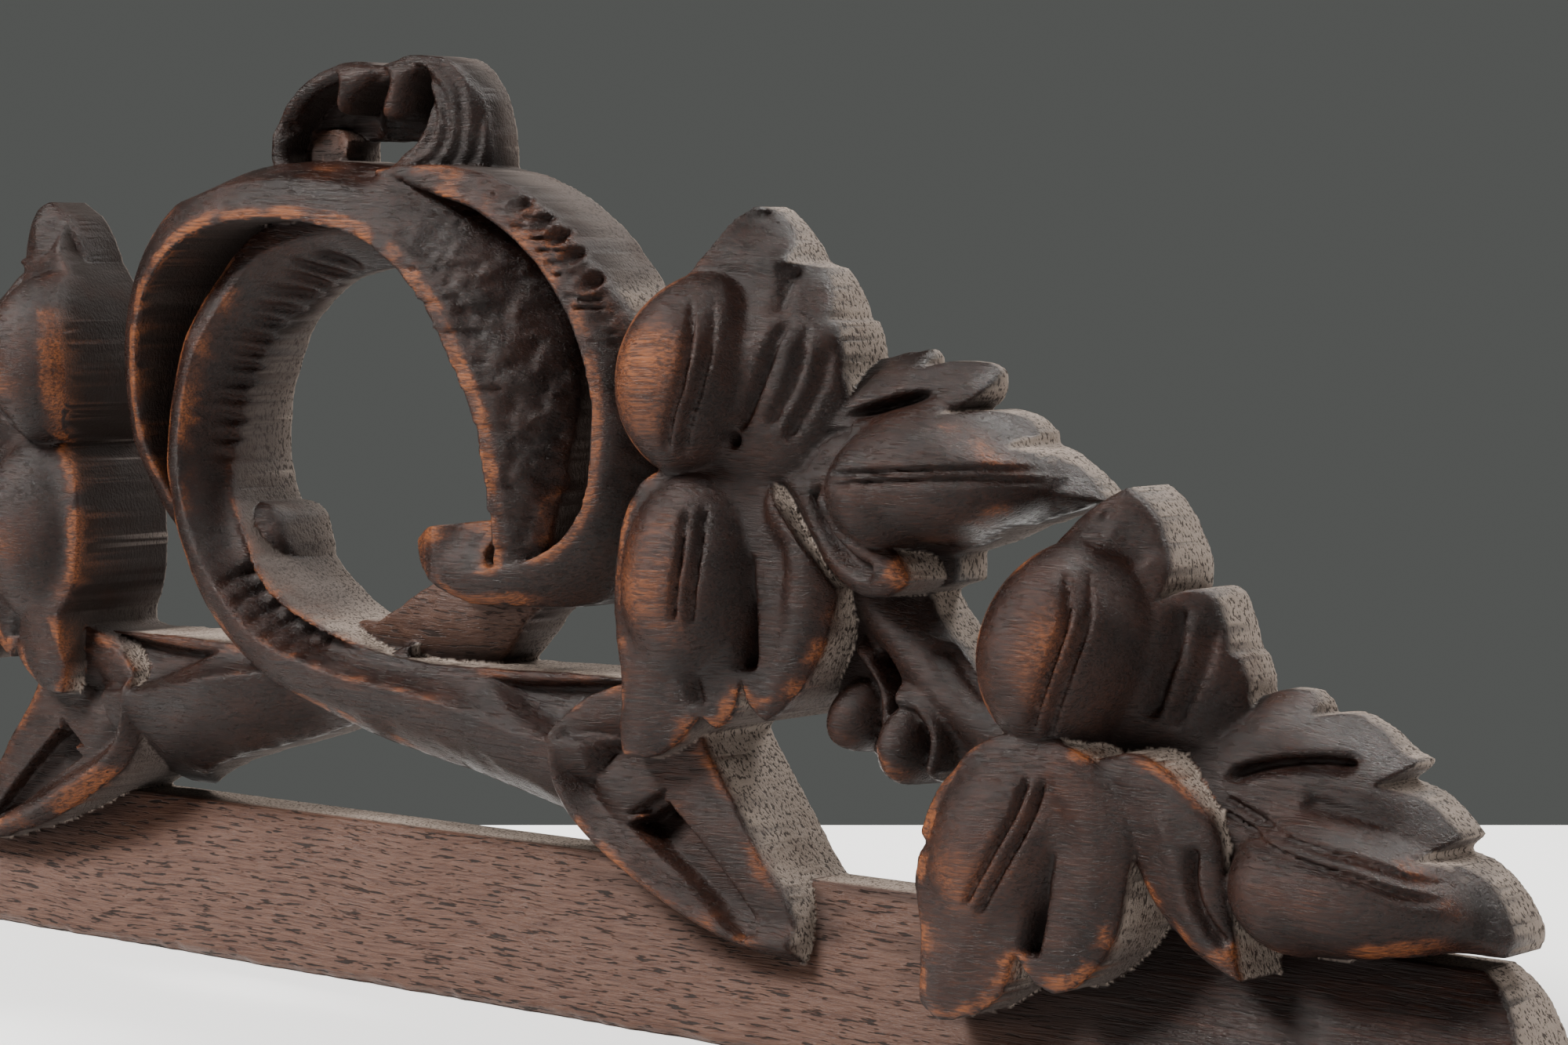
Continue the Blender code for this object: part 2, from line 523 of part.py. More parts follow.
UPPER_TWO = Lobe(
    outline([(150.0, 52.0), (144.6, 59.0), (142.4, 66.0), (143.2, 73.0), (146.6, 79.6),
             (152.0, 85.6), (157.0, 89.6), (161.8, 92.1)],
            [(161.8, 92.1), (164.8, 89.8), (167.2, 86.6), (169.2, 82.4), (170.0, 78.6), (169.2, 75.6)],
            [(169.2, 75.6), (172.6, 77.4), (175.4, 76.6), (177.6, 72.6), (178.7, 68.4)],
            [(178.7, 68.4), (180.0, 67.4)],
            [(180.0, 67.4), (181.0, 64.4), (181.4, 61.2)],
            [(181.4, 61.2), (182.0, 52.0), (172.0, 46.0), (158.0, 46.0), (150.0, 52.0)]),
    (172.0, 76.0, 10.2, -0.12, 0.02), 9.0, 7.5, 14.5)
UPPER_TWO.egg(154.8, 67.4, 17.4, 14.6, 72.0, 12.0, BULGE_DEPTH - 10.6)
UPPER_TWO.veined([(164.4, 83.4), (166.0, 77.2), (165.2, 70.0), (161.4, 62.0), (157.4, 55.4)], 1.1)
UPPER_TWO.furrow([(158.0, 88.0), (163.0, 84.6), (166.0, 80.0)], 2.6, 1.6)
UPPER_TWO.furrow([(172.2, 75.4), (172.0, 68.0), (169.4, 58.0)], 1.2, 2.2)
UPPER_TWO.furrow([(176.2, 73.4), (176.0, 66.0), (173.0, 57.0)], 1.0, 1.5)

RIGHT_TWO = Lobe(
    outline([(172.0, 58.0), (179.0, 60.6), (185.0, 62.8), (189.4, 62.7)],
            [(189.4, 62.7), (191.4, 61.2), (191.8, 59.6)],
            [(191.8, 59.6), (196.6, 59.9), (201.4, 58.3), (205.4, 55.4), (208.4, 54.2)],
            [(208.4, 54.2), (207.6, 52.8), (205.0, 51.0)],
            [(205.0, 51.0), (210.4, 49.4), (214.4, 46.4), (216.9, 43.8)],
            [(216.9, 43.8), (215.2, 42.6), (214.2, 41.6)],
            [(214.2, 41.6), (218.2, 40.4), (222.0, 38.0), (224.8, 34.6), (226.4, 31.0),
             (225.6, 28.2)],
            [(225.6, 28.2), (220.0, 28.6), (212.0, 27.8), (204.0, 26.0), (196.0, 25.4),
             (188.0, 27.0), (176.0, 30.0), (164.0, 40.0), (160.0, 50.0), (172.0, 58.0)]),
    (200.0, 56.0, 5.4, -0.04, -0.22), 12.0, 6.0, 13.0)
RIGHT_TWO.egg(203.4, 36.4, 20.6, 10.6, -10.0, 10.0, 17.0, 0.25)
RIGHT_TWO.egg(195.4, 36.0, 11.0, 10.4, 0.0, 13.0, 14.0)
RIGHT_TWO.veined([(181.0, 45.6), (190.0, 43.8), (199.6, 41.6), (208.6, 38.6), (217.6, 36.6)], 1.0)
RIGHT_TWO.furrow([(182.6, 50.6), (188.4, 52.6), (195.6, 53.6), (202.4, 53.2)], 1.0, 3.6)
RIGHT_TWO.furrow([(196.0, 48.6), (203.0, 46.6), (209.0, 44.0)], 1.4, 1.6)

LOWER_TWO = Lobe(
    outline([(158.0, 55.6), (149.6, 55.6), (143.4, 52.8), (138.6, 48.0), (135.6, 43.6), (134.0, 39.2)],
            [(134.0, 39.2), (135.8, 38.0)],
            [(135.8, 38.0), (133.8, 35.6), (133.2, 32.0), (133.9, 28.0), (134.9, 23.4),
             (134.4, 18.0), (134.7, 13.6), (138.0, 10.8)],
            [(138.0, 10.8), (144.8, 12.7), (150.4, 17.2), (152.6, 22.9)],
            [(152.6, 22.9), (154.6, 19.8), (158.6, 17.2)],
            [(158.6, 17.2), (163.4, 19.3), (167.2, 23.8), (169.6, 29.0), (170.4, 33.0)],
            [(170.4, 33.0), (172.0, 44.0), (166.0, 52.0), (158.0, 55.6)]),
    (150.0, 24.0, 25.6, -0.05, -0.02), 1.8, 3.0)
LOWER_TWO.egg(147.6, 38.6, 19.0, 13.6, 60.0, 18.0, BULGE_DEPTH - 16.4)
LOWER_TWO.veined([(158.6, 50.6), (157.6, 45.0), (155.4, 39.4), (150.8, 33.4), (144.4, 26.6)], 1.2)
LOWER_TWO.fold([(160.6, 50.6), (165.0, 43.0), (164.6, 33.0), (160.0, 21.0)], (27.2, 25.4), 5.0, 3.0)
LOWER_TWO.fold([(144.0, 26.0), (141.0, 18.0), (139.4, 13.0)], (28.0, 26.4), 6.0, 2.0)
LOWER_TWO.furrow([(158.2, 40.0), (157.0, 34.0), (156.0, 27.6), (154.6, 22.0)], 1.3, 4.4)

HOOK_TWO = Lobe(
    outline([(158.0, 50.0), (166.4, 48.6), (169.0, 42.6), (171.2, 38.0), (174.0, 32.6), (178.0, 28.4),
             (182.8, 24.8), (189.8, 22.2)],
            [(189.8, 22.2), (188.4, 26.4), (187.4, 31.0), (186.4, 38.0), (184.0, 46.0),
             (172.0, 54.0), (158.0, 50.0)]),
    (176.0, 34.0, 22.4, 0.0, 0.05), 1.8, 1.8)
HOOK_TWO.fold([(178.0, 44.0), (179.8, 36.4), (182.0, 30.8), (185.0, 27.0), (189.0, 23.2)],
              (25.0, 22.4), 2.6, 2.6)
HOOK_TWO.furrow([(182.4, 42.0), (182.2, 36.0), (184.2, 31.0), (187.6, 26.8)], 0.8, 1.8)

BRANCH = Lobe(
    outline([(106.0, 76.0), (112.0, 84.0), (127.2, 82.0)],
            [(127.2, 82.0), (127.4, 75.6)],
            [(127.4, 75.6), (123.2, 74.6), (121.9, 73.6)],
            [(121.9, 73.6), (128.0, 66.6), (136.0, 61.0), (150.0, 58.0)],
            [(150.0, 58.0), (150.0, 48.0), (138.0, 46.0), (128.6, 46.6)],
            [(128.6, 46.6), (126.6, 44.4), (122.4, 44.2), (119.2, 46.0), (117.4, 48.8)],
            [(117.4, 48.8), (114.4, 47.6), (110.0, 48.6), (106.4, 51.6), (104.2, 55.6),
             (103.0, 60.0), (106.0, 66.0), (106.0, 76.0)]),
    (118.0, 66.0, 8.6, 0.04, -0.04), 2.6, 2.4)
BRANCH.fold([(112.6, 73.0), (119.6, 67.0), (128.0, 59.6), (138.0, 54.0), (150.0, 51.0)],
            (13.6, 16.4), 5.4, 4.6)
BRANCH.fold([(112.0, 64.6), (116.6, 59.6), (117.4, 53.4), (115.6, 49.0)], (13.6, 13.6), 1.7, 2.6)
BRANCH.fold([(119.6, 57.6), (125.0, 57.0), (128.4, 52.6), (127.6, 47.0)], (15.8, 15.6), 1.9, 2.8)
BRANCH.egg(110.4, 53.6, 6.6, 4.9, 62.0, 10.4, 6.6)
BRANCH.egg(121.6, 50.0, 6.8, 4.9, 84.0, 11.6, 7.2)
BRANCH.furrow([(114.6, 64.6), (117.4, 60.6), (119.6, 56.4), (119.0, 51.0)], 0.9, 6.0)
BRANCH.furrow([(126.0, 66.6), (134.0, 60.0), (144.0, 56.0)], 1.1, 2.2)

NECK = Lobe(
    outline([(80.0, 98.0), (84.0, 53.6)],
            [(84.0, 53.6), (92.0, 53.4), (99.0, 58.0), (105.0, 66.0), (112.0, 78.0), (122.0, 82.0)],
            [(122.0, 82.0), (110.0, 104.0)],
            [(110.0, 104.0), (80.0, 98.0)]),
    (98.0, 80.0, 9.0, 0.0, 0.0), 3.0, 6.0)

NECK_TWO = Lobe(
    outline([(148.0, 62.0), (150.0, 34.0)],
            [(150.0, 34.0), (168.0, 26.0), (196.0, 26.0)],
            [(196.0, 26.0), (184.0, 58.0)],
            [(184.0, 58.0), (148.0, 62.0)]),
    (160.0, 48.0, 10.0, 0.0, 0.0), 3.0, 6.0)

LEFT_TIP = Lobe(
    outline([(77.6, 118.0), (79.6, 126.0), (82.4, 131.4), (86.0, 134.8), (90.4, 137.3)],
            [(90.4, 137.3), (94.0, 135.6), (96.6, 130.4), (98.0, 124.0)],
            [(98.0, 124.0), (88.0, 116.0), (77.6, 118.0)]),
    (90.0, 130.0, 9.2, 0.0, 0.0), 5.0, 5.0)

CLUSTER_LOBES = (NECK, BRANCH, UPPER_ONE, RIGHT_ONE, LOWER_ONE, HOOK_ONE,
                 NECK_TWO, UPPER_TWO, RIGHT_TWO, LOWER_TWO, HOOK_TWO)


# Top curls.
CURL_BODY = outline(
    [(7.2, 140.0), (9.2, 143.2), (12.0, 147.0)],
    [(12.0, 147.0), (14.0, 150.0), (14.9, 153.4), (14.6, 156.6), (13.6, 158.8)],
    [(13.6, 158.8), (9.0, 158.0), (0.0, 156.6), (-2.0, 157.6), (0.0, 159.0)],
    [(0.0, 159.0), (4.4, 160.2), (9.0, 161.3), (13.5, 161.4), (18.3, 159.8), (22.1, 156.3),
     (24.2, 152.0), (25.3, 146.6), (25.5, 140.0)],
    [(25.5, 140.0), (16.0, 138.6), (7.2, 140.0)])

CURL_RIM = outline(
    [(9.4, 140.0), (20.0, 141.6), (22.6, 144.4), (22.2, 148.0), (20.2, 151.8), (16.4, 154.8),
     (11.6, 156.9), (8.6, 157.6)],
    [(8.6, 157.6), (0.0, 156.8), (-2.0, 157.6), (0.0, 159.4)],
    [(0.0, 159.4), (4.6, 161.0), (9.6, 160.6), (15.6, 158.8), (21.0, 155.2), (24.8, 151.0),
     (26.2, 146.8), (25.8, 140.0)],
    [(25.8, 140.0), (16.0, 138.6), (9.4, 140.0)])

CURL_NOSE = outline(
    [(4.5, 151.6), (5.6, 150.2), (7.4, 150.0), (9.2, 151.0)],
    [(9.2, 151.0), (10.2, 154.0), (11.6, 157.2), (13.9, 159.2)],
    [(13.9, 159.2), (9.0, 160.6), (4.0, 160.0)],
    [(4.0, 160.0), (6.4, 157.4), (5.2, 154.0), (4.5, 151.6)])

CURL_BEAK = outline(
    [(-7.0, 153.8), (-6.6, 152.2), (-5.6, 151.4), (-5.0, 152.2)],
    [(-5.0, 152.2), (-3.0, 154.2), (0.2, 156.2), (3.4, 157.9)],
    [(3.4, 157.9), (2.0, 159.8), (-3.0, 160.4), (-8.0, 160.0)],
    [(-8.0, 160.0), (-6.4, 157.4), (-7.0, 153.8)])

CURL_WEB = outline(
    [(-13.6, 147.0), (13.6, 147.0)],
    [(13.6, 147.0), (15.0, 152.0), (12.0, 158.6)],
    [(12.0, 158.6), (-12.0, 158.6)],
    [(-12.0, 158.6), (-20.0, 154.6), (-24.0, 148.0), (-13.6, 147.0)])

CURL_FOOT = outline(
    [(-8.6, 140.0), (-8.8, 147.4)],
    [(-8.8, 147.4), (-15.0, 149.4), (-25.0, 149.0)],
    [(-25.0, 149.0), (-25.4, 140.0), (-8.6, 140.0)])


def curl_front(x, z, edge):
    """Right volute: face that rises to the eye and runs into a pointed foot."""
    body = 9.0 + 0.36 * np.maximum(24.0 - x, 0.0)
    foot = 3.4 * ramp(146.5 - z, 0.0, 5.0) * ramp(20.0 - x, 0.0, 12.0)
    lip = 1.6 * (1.0 - np.exp(-np.maximum(edge, 0.0) / 1.4)) - 1.6
    return np.minimum(body, 13.0) + foot + lip


def rim_front(x, z, edge):
    """Left volute: a thin rim about a deep scooped eye."""
    lip = 1.6 * (1.0 - np.exp(-np.maximum(edge, 0.0) / 1.2)) - 1.6
    return 11.6 + 0.05 * (x - 18.0) + lip


def nose_front(x, z, edge):
    return 12.2 + 2.4 * (1.0 - np.exp(-np.maximum(edge, 0.0) / 1.2))


def web_front(x, z, edge):
    return 3.6 + 3.4 * np.exp(-(x / 4.0) ** 2)


def foot_front(x, z, edge):
    return 8.6 - 0.22 * np.maximum(-9.0 - x, 0.0) - 0.3 * np.maximum(z - 145.0, 0.0)


# Assembly.
def layers():
    """Every outline with its carved front and the side it lies on."""
    one = [(rail_outline(), rail_front), (RECESS_LEFT, recess_front),
           (RECESS_RIGHT, recess_front), (BLOCK_OUTLINE, block_front),
           (KNOB_OUTLINE, knob_front), (LEFT_STEM_OUTLINE, left_stem_front),
           (STEM_OUTLINE, stem_front), (STRAP_OUTLINE, strap_front),
           (HOOP_OUTLINE, hoop_front), (CURL_WEB, web_front), (CURL_BODY, curl_front),
           (CURL_FOOT, foot_front), (CURL_NOSE, nose_front), (CURL_BEAK, nose_front)]
    pairs = [(LEAF_OUTLINE, leaf_front)]
    pairs += [(lobe.line, lobe.front) for lobe in CLUSTER_LOBES]
    out = [(line, front, 1.0) for line, front in one]
    out.append((CURL_RIM, rim_front, -1.0))
    out.append((LEFT_TIP.line, LEFT_TIP.front, -1.0))
    for line, front in pairs:
        out.append((line, front, 1.0))
        out.append((line, front, -1.0))
    return out


def solid_field(cell, below=1.6):
    """Samples of the solid on a regular grid: positive inside."""
    xs = np.arange(-HALF_LENGTH - 3.0, HALF_LENGTH + 3.0 + cell, cell)
    ds = np.arange(-below, BOARD_DEPTH + 2.0, cell)
    zs = np.arange(-below, FULL_HEIGHT + 3.0, cell)
    field = np.full((len(xs), len(ds), len(zs)), -3.0, np.float32)
    for line, front, side in layers():
        low, high = line.min(axis=0) - 3.0, line.max(axis=0) + 3.0
        if side < 0.0:
            low[0], high[0] = -high[0], -low[0]
        i0, i1 = np.searchsorted(xs, (low[0], high[0]))
        k0, k1 = np.searchsorted(zs, (low[1], high[1]))
        x, z = np.meshgrid(side * xs[i0:i1], zs[k0:k1], indexing="ij")
        edge = edge_distance(line, x, z)
        top = np.minimum(front(x, z, edge), BOARD_DEPTH)
        column = smin(edge[:, None, :], top[:, None, :] - ds[None, :, None], ARRIS)
        part = field[i0:i1, :, k0:k1]
        np.maximum(part, column.astype(np.float32), out=part)
    return xs, ds, zs, np.clip(field, -3.0, 3.0)


def largest_body(mesh):
    """Keep the one connected body and drop flat slivers left by thinning."""
    work = bmesh.new()
    work.from_mesh(mesh)
    groups = []
    seen = set()
    work.verts.ensure_lookup_table()
    for vert in work.verts:
        if vert.index in seen:
            continue
        seen.add(vert.index)
        stack, group = [vert], []
        while stack:
            here = stack.pop()
            group.append(here)
            for edge in here.link_edges:
                other = edge.other_vert(here)
                if other.index not in seen:
                    seen.add(other.index)
                    stack.append(other)
        groups.append(group)
    groups.sort(key=len)
    for group in groups[:-1]:
        bmesh.ops.delete(work, geom=group, context="VERTS")
    work.to_mesh(mesh)
    work.free()
    mesh.update()


def well_composed(inside):
    """Fill the few corners at which the solid would only touch itself."""
    for _ in range(12):
        changed = 0
        for a, b in ((0, 1), (0, 2), (1, 2)):
            view = np.moveaxis(inside, (a, b), (0, 1))
            p, q = view[:-1, :-1], view[1:, 1:]
            r, s = view[1:, :-1], view[:-1, 1:]
            cross = p & q & ~r & ~s
            other = r & s & ~p & ~q
            changed += int(cross.sum() + other.sum())
            r |= cross
            p |= other
        c = inside
        for flip_y in (False, True):
            for flip_z in (False, True):
                ya, yb = (slice(1, None), slice(None, -1)) if flip_y else (slice(None, -1), slice(1, None))
                za, zb = (slice(1, None), slice(None, -1)) if flip_z else (slice(None, -1), slice(1, None))
                p, q = c[:-1, ya, za], c[1:, yb, zb]
                count = np.zeros(p.shape, np.int8)
                for i in (slice(None, -1), slice(1, None)):
                    for j in (slice(None, -1), slice(1, None)):
                        for k in (slice(None, -1), slice(1, None)):
                            count += c[i, j, k]
                pair = p & q & (count == 2)
                gap = ~p & ~q & (count == 6)
                changed += int(pair.sum() + gap.sum())
                c[1:, ya, za] |= pair
                p |= gap
        if not changed:
            break
    return inside


def skin(xs, ds, zs, field):
    """Closed quad surface between the samples inside and outside."""
    inside = well_composed(field > 0.0)
    field = np.where(inside, np.maximum(field, 0.02), np.minimum(field, -0.02))
    shape = np.array(field.shape) - 1
    corner = np.zeros(shape, np.int8)
    offsets = [(i, j, k) for i in (0, 1) for j in (0, 1) for k in (0, 1)]
    for i, j, k in offsets:
        corner += inside[i:i + shape[0], j:j + shape[1], k:k + shape[2]]
    cells = np.argwhere((corner > 0) & (corner < 8))
    number = np.full(shape, -1, np.int32)
    number[tuple(cells.T)] = np.arange(len(cells))
    place = np.zeros((len(cells), 3))
    hits = np.zeros(len(cells))
    for axis in range(3):
        step = np.zeros(3, int)
        step[axis] = 1
        for start in offsets:
            if start[axis]:
                continue
            a = cells + start
            b = a + step
            fa, fb = field[tuple(a.T)], field[tuple(b.T)]
            cut = (fa > 0.0) != (fb > 0.0)
            t = np.where(cut, fa / np.where(cut, fa - fb, 1.0), 0.0)
            point = np.array(start)[None, :] + t[:, None] * step[None, :]
            place += np.where(cut[:, None], point, 0.0)
            hits += cut
    place = cells + place / hits[:, None]
    verts = np.empty_like(place)
    verts[:, 0] = xs[0] + place[:, 0] * (xs[1] - xs[0])
    verts[:, 1] = BACK - (ds[0] + place[:, 1] * (ds[1] - ds[0]))
    verts[:, 2] = zs[0] + place[:, 2] * (zs[1] - zs[0])
    faces = []
    for axis in range(3):
        b, c = (axis + 1) % 3, (axis + 2) % 3
        low = [slice(None)] * 3
        high = [slice(None)] * 3
        low[axis], high[axis] = slice(None, -1), slice(1, None)
        first, second = inside[tuple(low)], inside[tuple(high)]
        edge = np.argwhere(first != second)
        edge = edge[(edge[:, b] > 0) & (edge[:, c] > 0)]
        edge = edge[(edge[:, b] < field.shape[b] - 1) & (edge[:, c] < field.shape[c] - 1)]
        leave = first[tuple(edge.T)]
        sb, sc = np.zeros(3, int), np.zeros(3, int)
        sb[b], sc[c] = 1, 1
        ring = [number[tuple((edge - sb - sc).T)], number[tuple((edge - sc).T)],
                number[tuple(edge.T)], number[tuple((edge - sb).T)]]
        quad = np.column_stack(ring)
        quad[~leave] = quad[~leave][:, ::-1]
        faces.append(quad[:, ::-1])
    return verts, np.vstack(faces)


def build_mesh(name, cell, below=1.6):
    verts, faces = skin(*solid_field(cell, below))
    mesh = bpy.data.meshes.new(name)
    mesh.vertices.add(len(verts))
    mesh.vertices.foreach_set("co", (verts * MM).astype(np.float32).ravel())
    mesh.loops.add(faces.size)
    mesh.loops.foreach_set("vertex_index", faces.astype(np.int32).ravel())
    mesh.polygons.add(len(faces))
    mesh.polygons.foreach_set("loop_start", np.arange(0, faces.size, 4, dtype=np.int32))
    mesh.update(calc_edges=True)
    mesh.validate()
    return mesh


def oak():
    material = bpy.data.materials.new("dark oak")
    material.use_nodes = True
    shader = material.node_tree.nodes["Principled BSDF"]
    shader.inputs["Base Color"].default_value = (0.105, 0.045, 0.022, 1.0)
    shader.inputs["Roughness"].default_value = 0.42
    return material


def main():
    for item in list(bpy.data.objects):
        bpy.data.objects.remove(item, do_unlink=True)
    mesh = build_mesh("pediment", CELL)
    piece = bpy.data.objects.new("pediment", mesh)
    bpy.context.scene.collection.objects.link(piece)
    piece.data.materials.append(oak())
    thin = piece.modifiers.new("thin", "DECIMATE")
    thin.ratio = FACE_BUDGET / (2.0 * len(mesh.polygons))
    view = bpy.context.evaluated_depsgraph_get()
    thinned = bpy.data.meshes.new_from_object(piece.evaluated_get(view))
    largest_body(thinned)
    piece.modifiers.remove(thin)
    piece.data = thinned
    block = bpy.data.meshes.new("board")
    frame = bmesh.new()
    bmesh.ops.create_cube(frame, size=1.0)
    for vert in frame.verts:
        vert.co.x *= 2.2 * HALF_LENGTH * MM
        vert.co.y = ((vert.co.y - 0.5) * 2.0 * BOARD_DEPTH + BACK) * MM
        vert.co.z = (vert.co.z + 0.5) * 1.2 * FULL_HEIGHT * MM
    frame.to_mesh(block)
    frame.free()
    board = bpy.data.objects.new("board", block)
    bpy.context.scene.collection.objects.link(board)
    board.hide_render = True
    board.display_type = "WIRE"
    trim = piece.modifiers.new("trim", "BOOLEAN")
    trim.operation = "INTERSECT"
    trim.solver = "EXACT"
    trim.object = board


if __name__ == "__main__":
    main()
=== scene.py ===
"""Dark waxed oak pediment: its carved surface, finish, light and camera.

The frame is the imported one: X along the length, Y into the board, Z up, with
the origin in the middle of the flat underside.  Lengths in the carving
classes are millimetres; the meshes and the scene are in metres.  A carved
face is a depth in front of the flat back for every point of the front view.
"""

import logging
import math
from dataclasses import dataclass, field
from enum import Enum
from typing import Callable, Sequence

import bpy
import numpy as np
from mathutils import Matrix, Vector


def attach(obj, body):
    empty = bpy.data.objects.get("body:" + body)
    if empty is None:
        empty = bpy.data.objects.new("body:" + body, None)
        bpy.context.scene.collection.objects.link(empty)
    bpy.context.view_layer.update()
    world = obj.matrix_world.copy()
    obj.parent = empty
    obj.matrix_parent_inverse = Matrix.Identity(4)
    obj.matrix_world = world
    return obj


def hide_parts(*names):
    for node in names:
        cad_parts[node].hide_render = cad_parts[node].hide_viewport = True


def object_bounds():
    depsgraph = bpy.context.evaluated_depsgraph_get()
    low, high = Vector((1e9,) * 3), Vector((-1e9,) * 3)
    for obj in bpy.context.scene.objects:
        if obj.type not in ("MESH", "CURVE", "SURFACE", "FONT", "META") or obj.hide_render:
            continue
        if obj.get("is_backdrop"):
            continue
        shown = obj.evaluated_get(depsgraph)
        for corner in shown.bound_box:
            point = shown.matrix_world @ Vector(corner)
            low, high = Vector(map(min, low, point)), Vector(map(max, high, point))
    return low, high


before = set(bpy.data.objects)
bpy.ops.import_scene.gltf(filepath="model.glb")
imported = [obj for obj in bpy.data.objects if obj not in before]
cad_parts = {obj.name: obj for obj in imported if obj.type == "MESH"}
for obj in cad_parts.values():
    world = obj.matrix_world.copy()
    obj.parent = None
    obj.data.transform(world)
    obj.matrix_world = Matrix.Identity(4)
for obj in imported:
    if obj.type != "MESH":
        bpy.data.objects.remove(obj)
LOG = logging.getLogger("pediment")

MM = 0.001
BACK = 11.25
BOARD_DEPTH = 33.0
HALF_LENGTH = 240.0
FULL_HEIGHT = 162.0
BULGE_DEPTH = 30.0
ARRIS = 0.28
VEIN_WIDTH = 0.5
VEIN_DEPTH = 1.5

Grid = np.ndarray
Points = Sequence[tuple[float, float]]
Front = Callable[[Grid, Grid, Grid], Grid]


class Wax(Enum):
    """How much dark wax the surface still carries."""
    FULL = 1.0
    WORN = 0.82
    THIN = 0.55
    SCANT = 0.25


def spline(nodes: Points, steps: int = 5) -> Grid:
    """Draw a smooth open curve through the nodes.

    Args:
        nodes: points of the front view, in millimetres.
        steps: straight steps between two nodes.

    Returns:
        The curve's points, one per row.
    """
    p = np.array(nodes, float)
    if len(p) < 3:
        return p
    q = np.vstack([2.0 * p[0] - p[1], p, 2.0 * p[-1] - p[-2]])
    out = []
    for k in range(1, len(q) - 2):
        a, b, c, d = q[k - 1], q[k], q[k + 1], q[k + 2]
        for t in np.linspace(0.0, 1.0, steps, endpoint=False):
            out.append(0.5 * (2.0 * b + (c - a) * t + (2.0 * a - 5.0 * b + 4.0 * c - d) * t * t
                              + (3.0 * b - a - 3.0 * c + d) * t * t * t))
    out.append(q[-2])
    return np.array(out)


def outline(*runs: Points) -> Grid:
    """Join smooth runs into one closed outline with sharp corners.

    Args:
        runs: each run starts where the one before it ends.

    Returns:
        The outline's points, one per row.
    """
    return np.vstack([spline(run)[:-1] for run in runs])


def edge_distance(line: Grid, x: Grid, z: Grid) -> Grid:
    """Measure the distance to a closed outline.

    Args:
        line: the outline.
        x: places along the board.
        z: heights.

    Returns:
        The distance, positive inside.
    """
    best = np.full(x.shape, 1.0e9)
    inside = np.zeros(x.shape, bool)
    for a, b in zip(line, np.roll(line, -1, axis=0)):
        ex, ez = b[0] - a[0], b[1] - a[1]
        size = ex * ex + ez * ez
        if size < 1.0e-9:
            continue
        px, pz = x - a[0], z - a[1]
        t = np.clip((px * ex + pz * ez) / size, 0.0, 1.0)
        best = np.minimum(best, (px - t * ex) ** 2 + (pz - t * ez) ** 2)
        if abs(ez) > 1.0e-9:
            spans = (a[1] > z) != (b[1] > z)
            inside ^= spans & (px < ex * pz / ez)
    return np.where(inside, 1.0, -1.0) * np.sqrt(best)


def along(path: Grid, x: Grid, z: Grid) -> tuple[Grid, Grid]:
    """Find the nearest place on an open path.

    Args:
        path: the path's points.
        x: places along the board.
        z: heights.

    Returns:
        The place from 0 to 1, and the distance, positive on the path's left.
    """
    best = np.full(x.shape, 1.0e9)
    place = np.zeros(x.shape)
    side = np.ones(x.shape)
    steps = np.hypot(*np.diff(path, axis=0).T)
    run = 0.0
    for a, b, size in zip(path[:-1], path[1:], steps):
        ex, ez = b[0] - a[0], b[1] - a[1]
        px, pz = x - a[0], z - a[1]
        t = np.clip((px * ex + pz * ez) / (size * size), 0.0, 1.0)
        d = (px - t * ex) ** 2 + (pz - t * ez) ** 2
        near = d < best
        best = np.where(near, d, best)
        place = np.where(near, (run + t * size) / steps.sum(), place)
        side = np.where(near, np.where(ex * pz - ez * px >= 0.0, 1.0, -1.0), side)
        run += size
    return place, side * np.sqrt(best)


def smax(a: Grid, b: Grid, k: float) -> Grid:
    """Return the larger of two faces with their meeting rounded by k."""
    return 0.5 * (a + b + np.sqrt((a - b) ** 2 + k * k))


def smin(a: Grid, b: Grid, k: float) -> Grid:
    """Return the smaller of two faces with their meeting rounded by k."""
    return 0.5 * (a + b - np.sqrt((a - b) ** 2 + k * k))


def ramp(v: Grid, low: float, high: float) -> Grid:
    """Rise smoothly from 0 at low to 1 at high."""
    t = np.clip((v - low) / (high - low), 0.0, 1.0)
    return t * t * (3.0 - 2.0 * t)


def dome(x: Grid, z: Grid, cx: float, cz: float, half_u: float, half_v: float, angle: float,
         base: float, rise: float, taper: float = 0.0) -> Grid:
    """Swell like an egg laid on the board.

    Args:
        x: places along the board.
        z: heights.
        cx: the egg's middle along the board.
        cz: the egg's middle height.
        half_u: half its length, along the angle.
        half_v: half its width.
        angle: degrees from the length of the board.
        base: depth of its foot.
        rise: how far it stands up from its foot.
        taper: how much it narrows towards the angle's side.

    Returns:
        The egg's face.
    """
    c, s = math.cos(math.radians(angle)), math.sin(math.radians(angle))
    u = ((x - cx) * c + (z - cz) * s) / half_u
    v = (-(x - cx) * s + (z - cz) * c) / half_v
    v = v / np.maximum(1.0 - taper * u, 0.2)
    r = 1.0 - u * u - v * v
    return base + rise * np.where(r > 0.0, np.sqrt(np.maximum(r, 0.0)), 2.0 * np.minimum(r, 0.0))


def ridge(path: Grid, x: Grid, z: Grid, crest: tuple[float, float], half: float, drop: float) -> Grid:
    """Raise a rounded fold along a path.

    Args:
        path: the crest in the front view.
        x: places along the board.
        z: heights.
        crest: depths at the path's two ends.
        half: distance from the crest at which the fold has fallen by drop.
        drop: that fall.

    Returns:
        The fold's face.
    """
    place, off = along(path, x, z)
    return crest[0] + (crest[1] - crest[0]) * place - drop * (off / half) ** 2


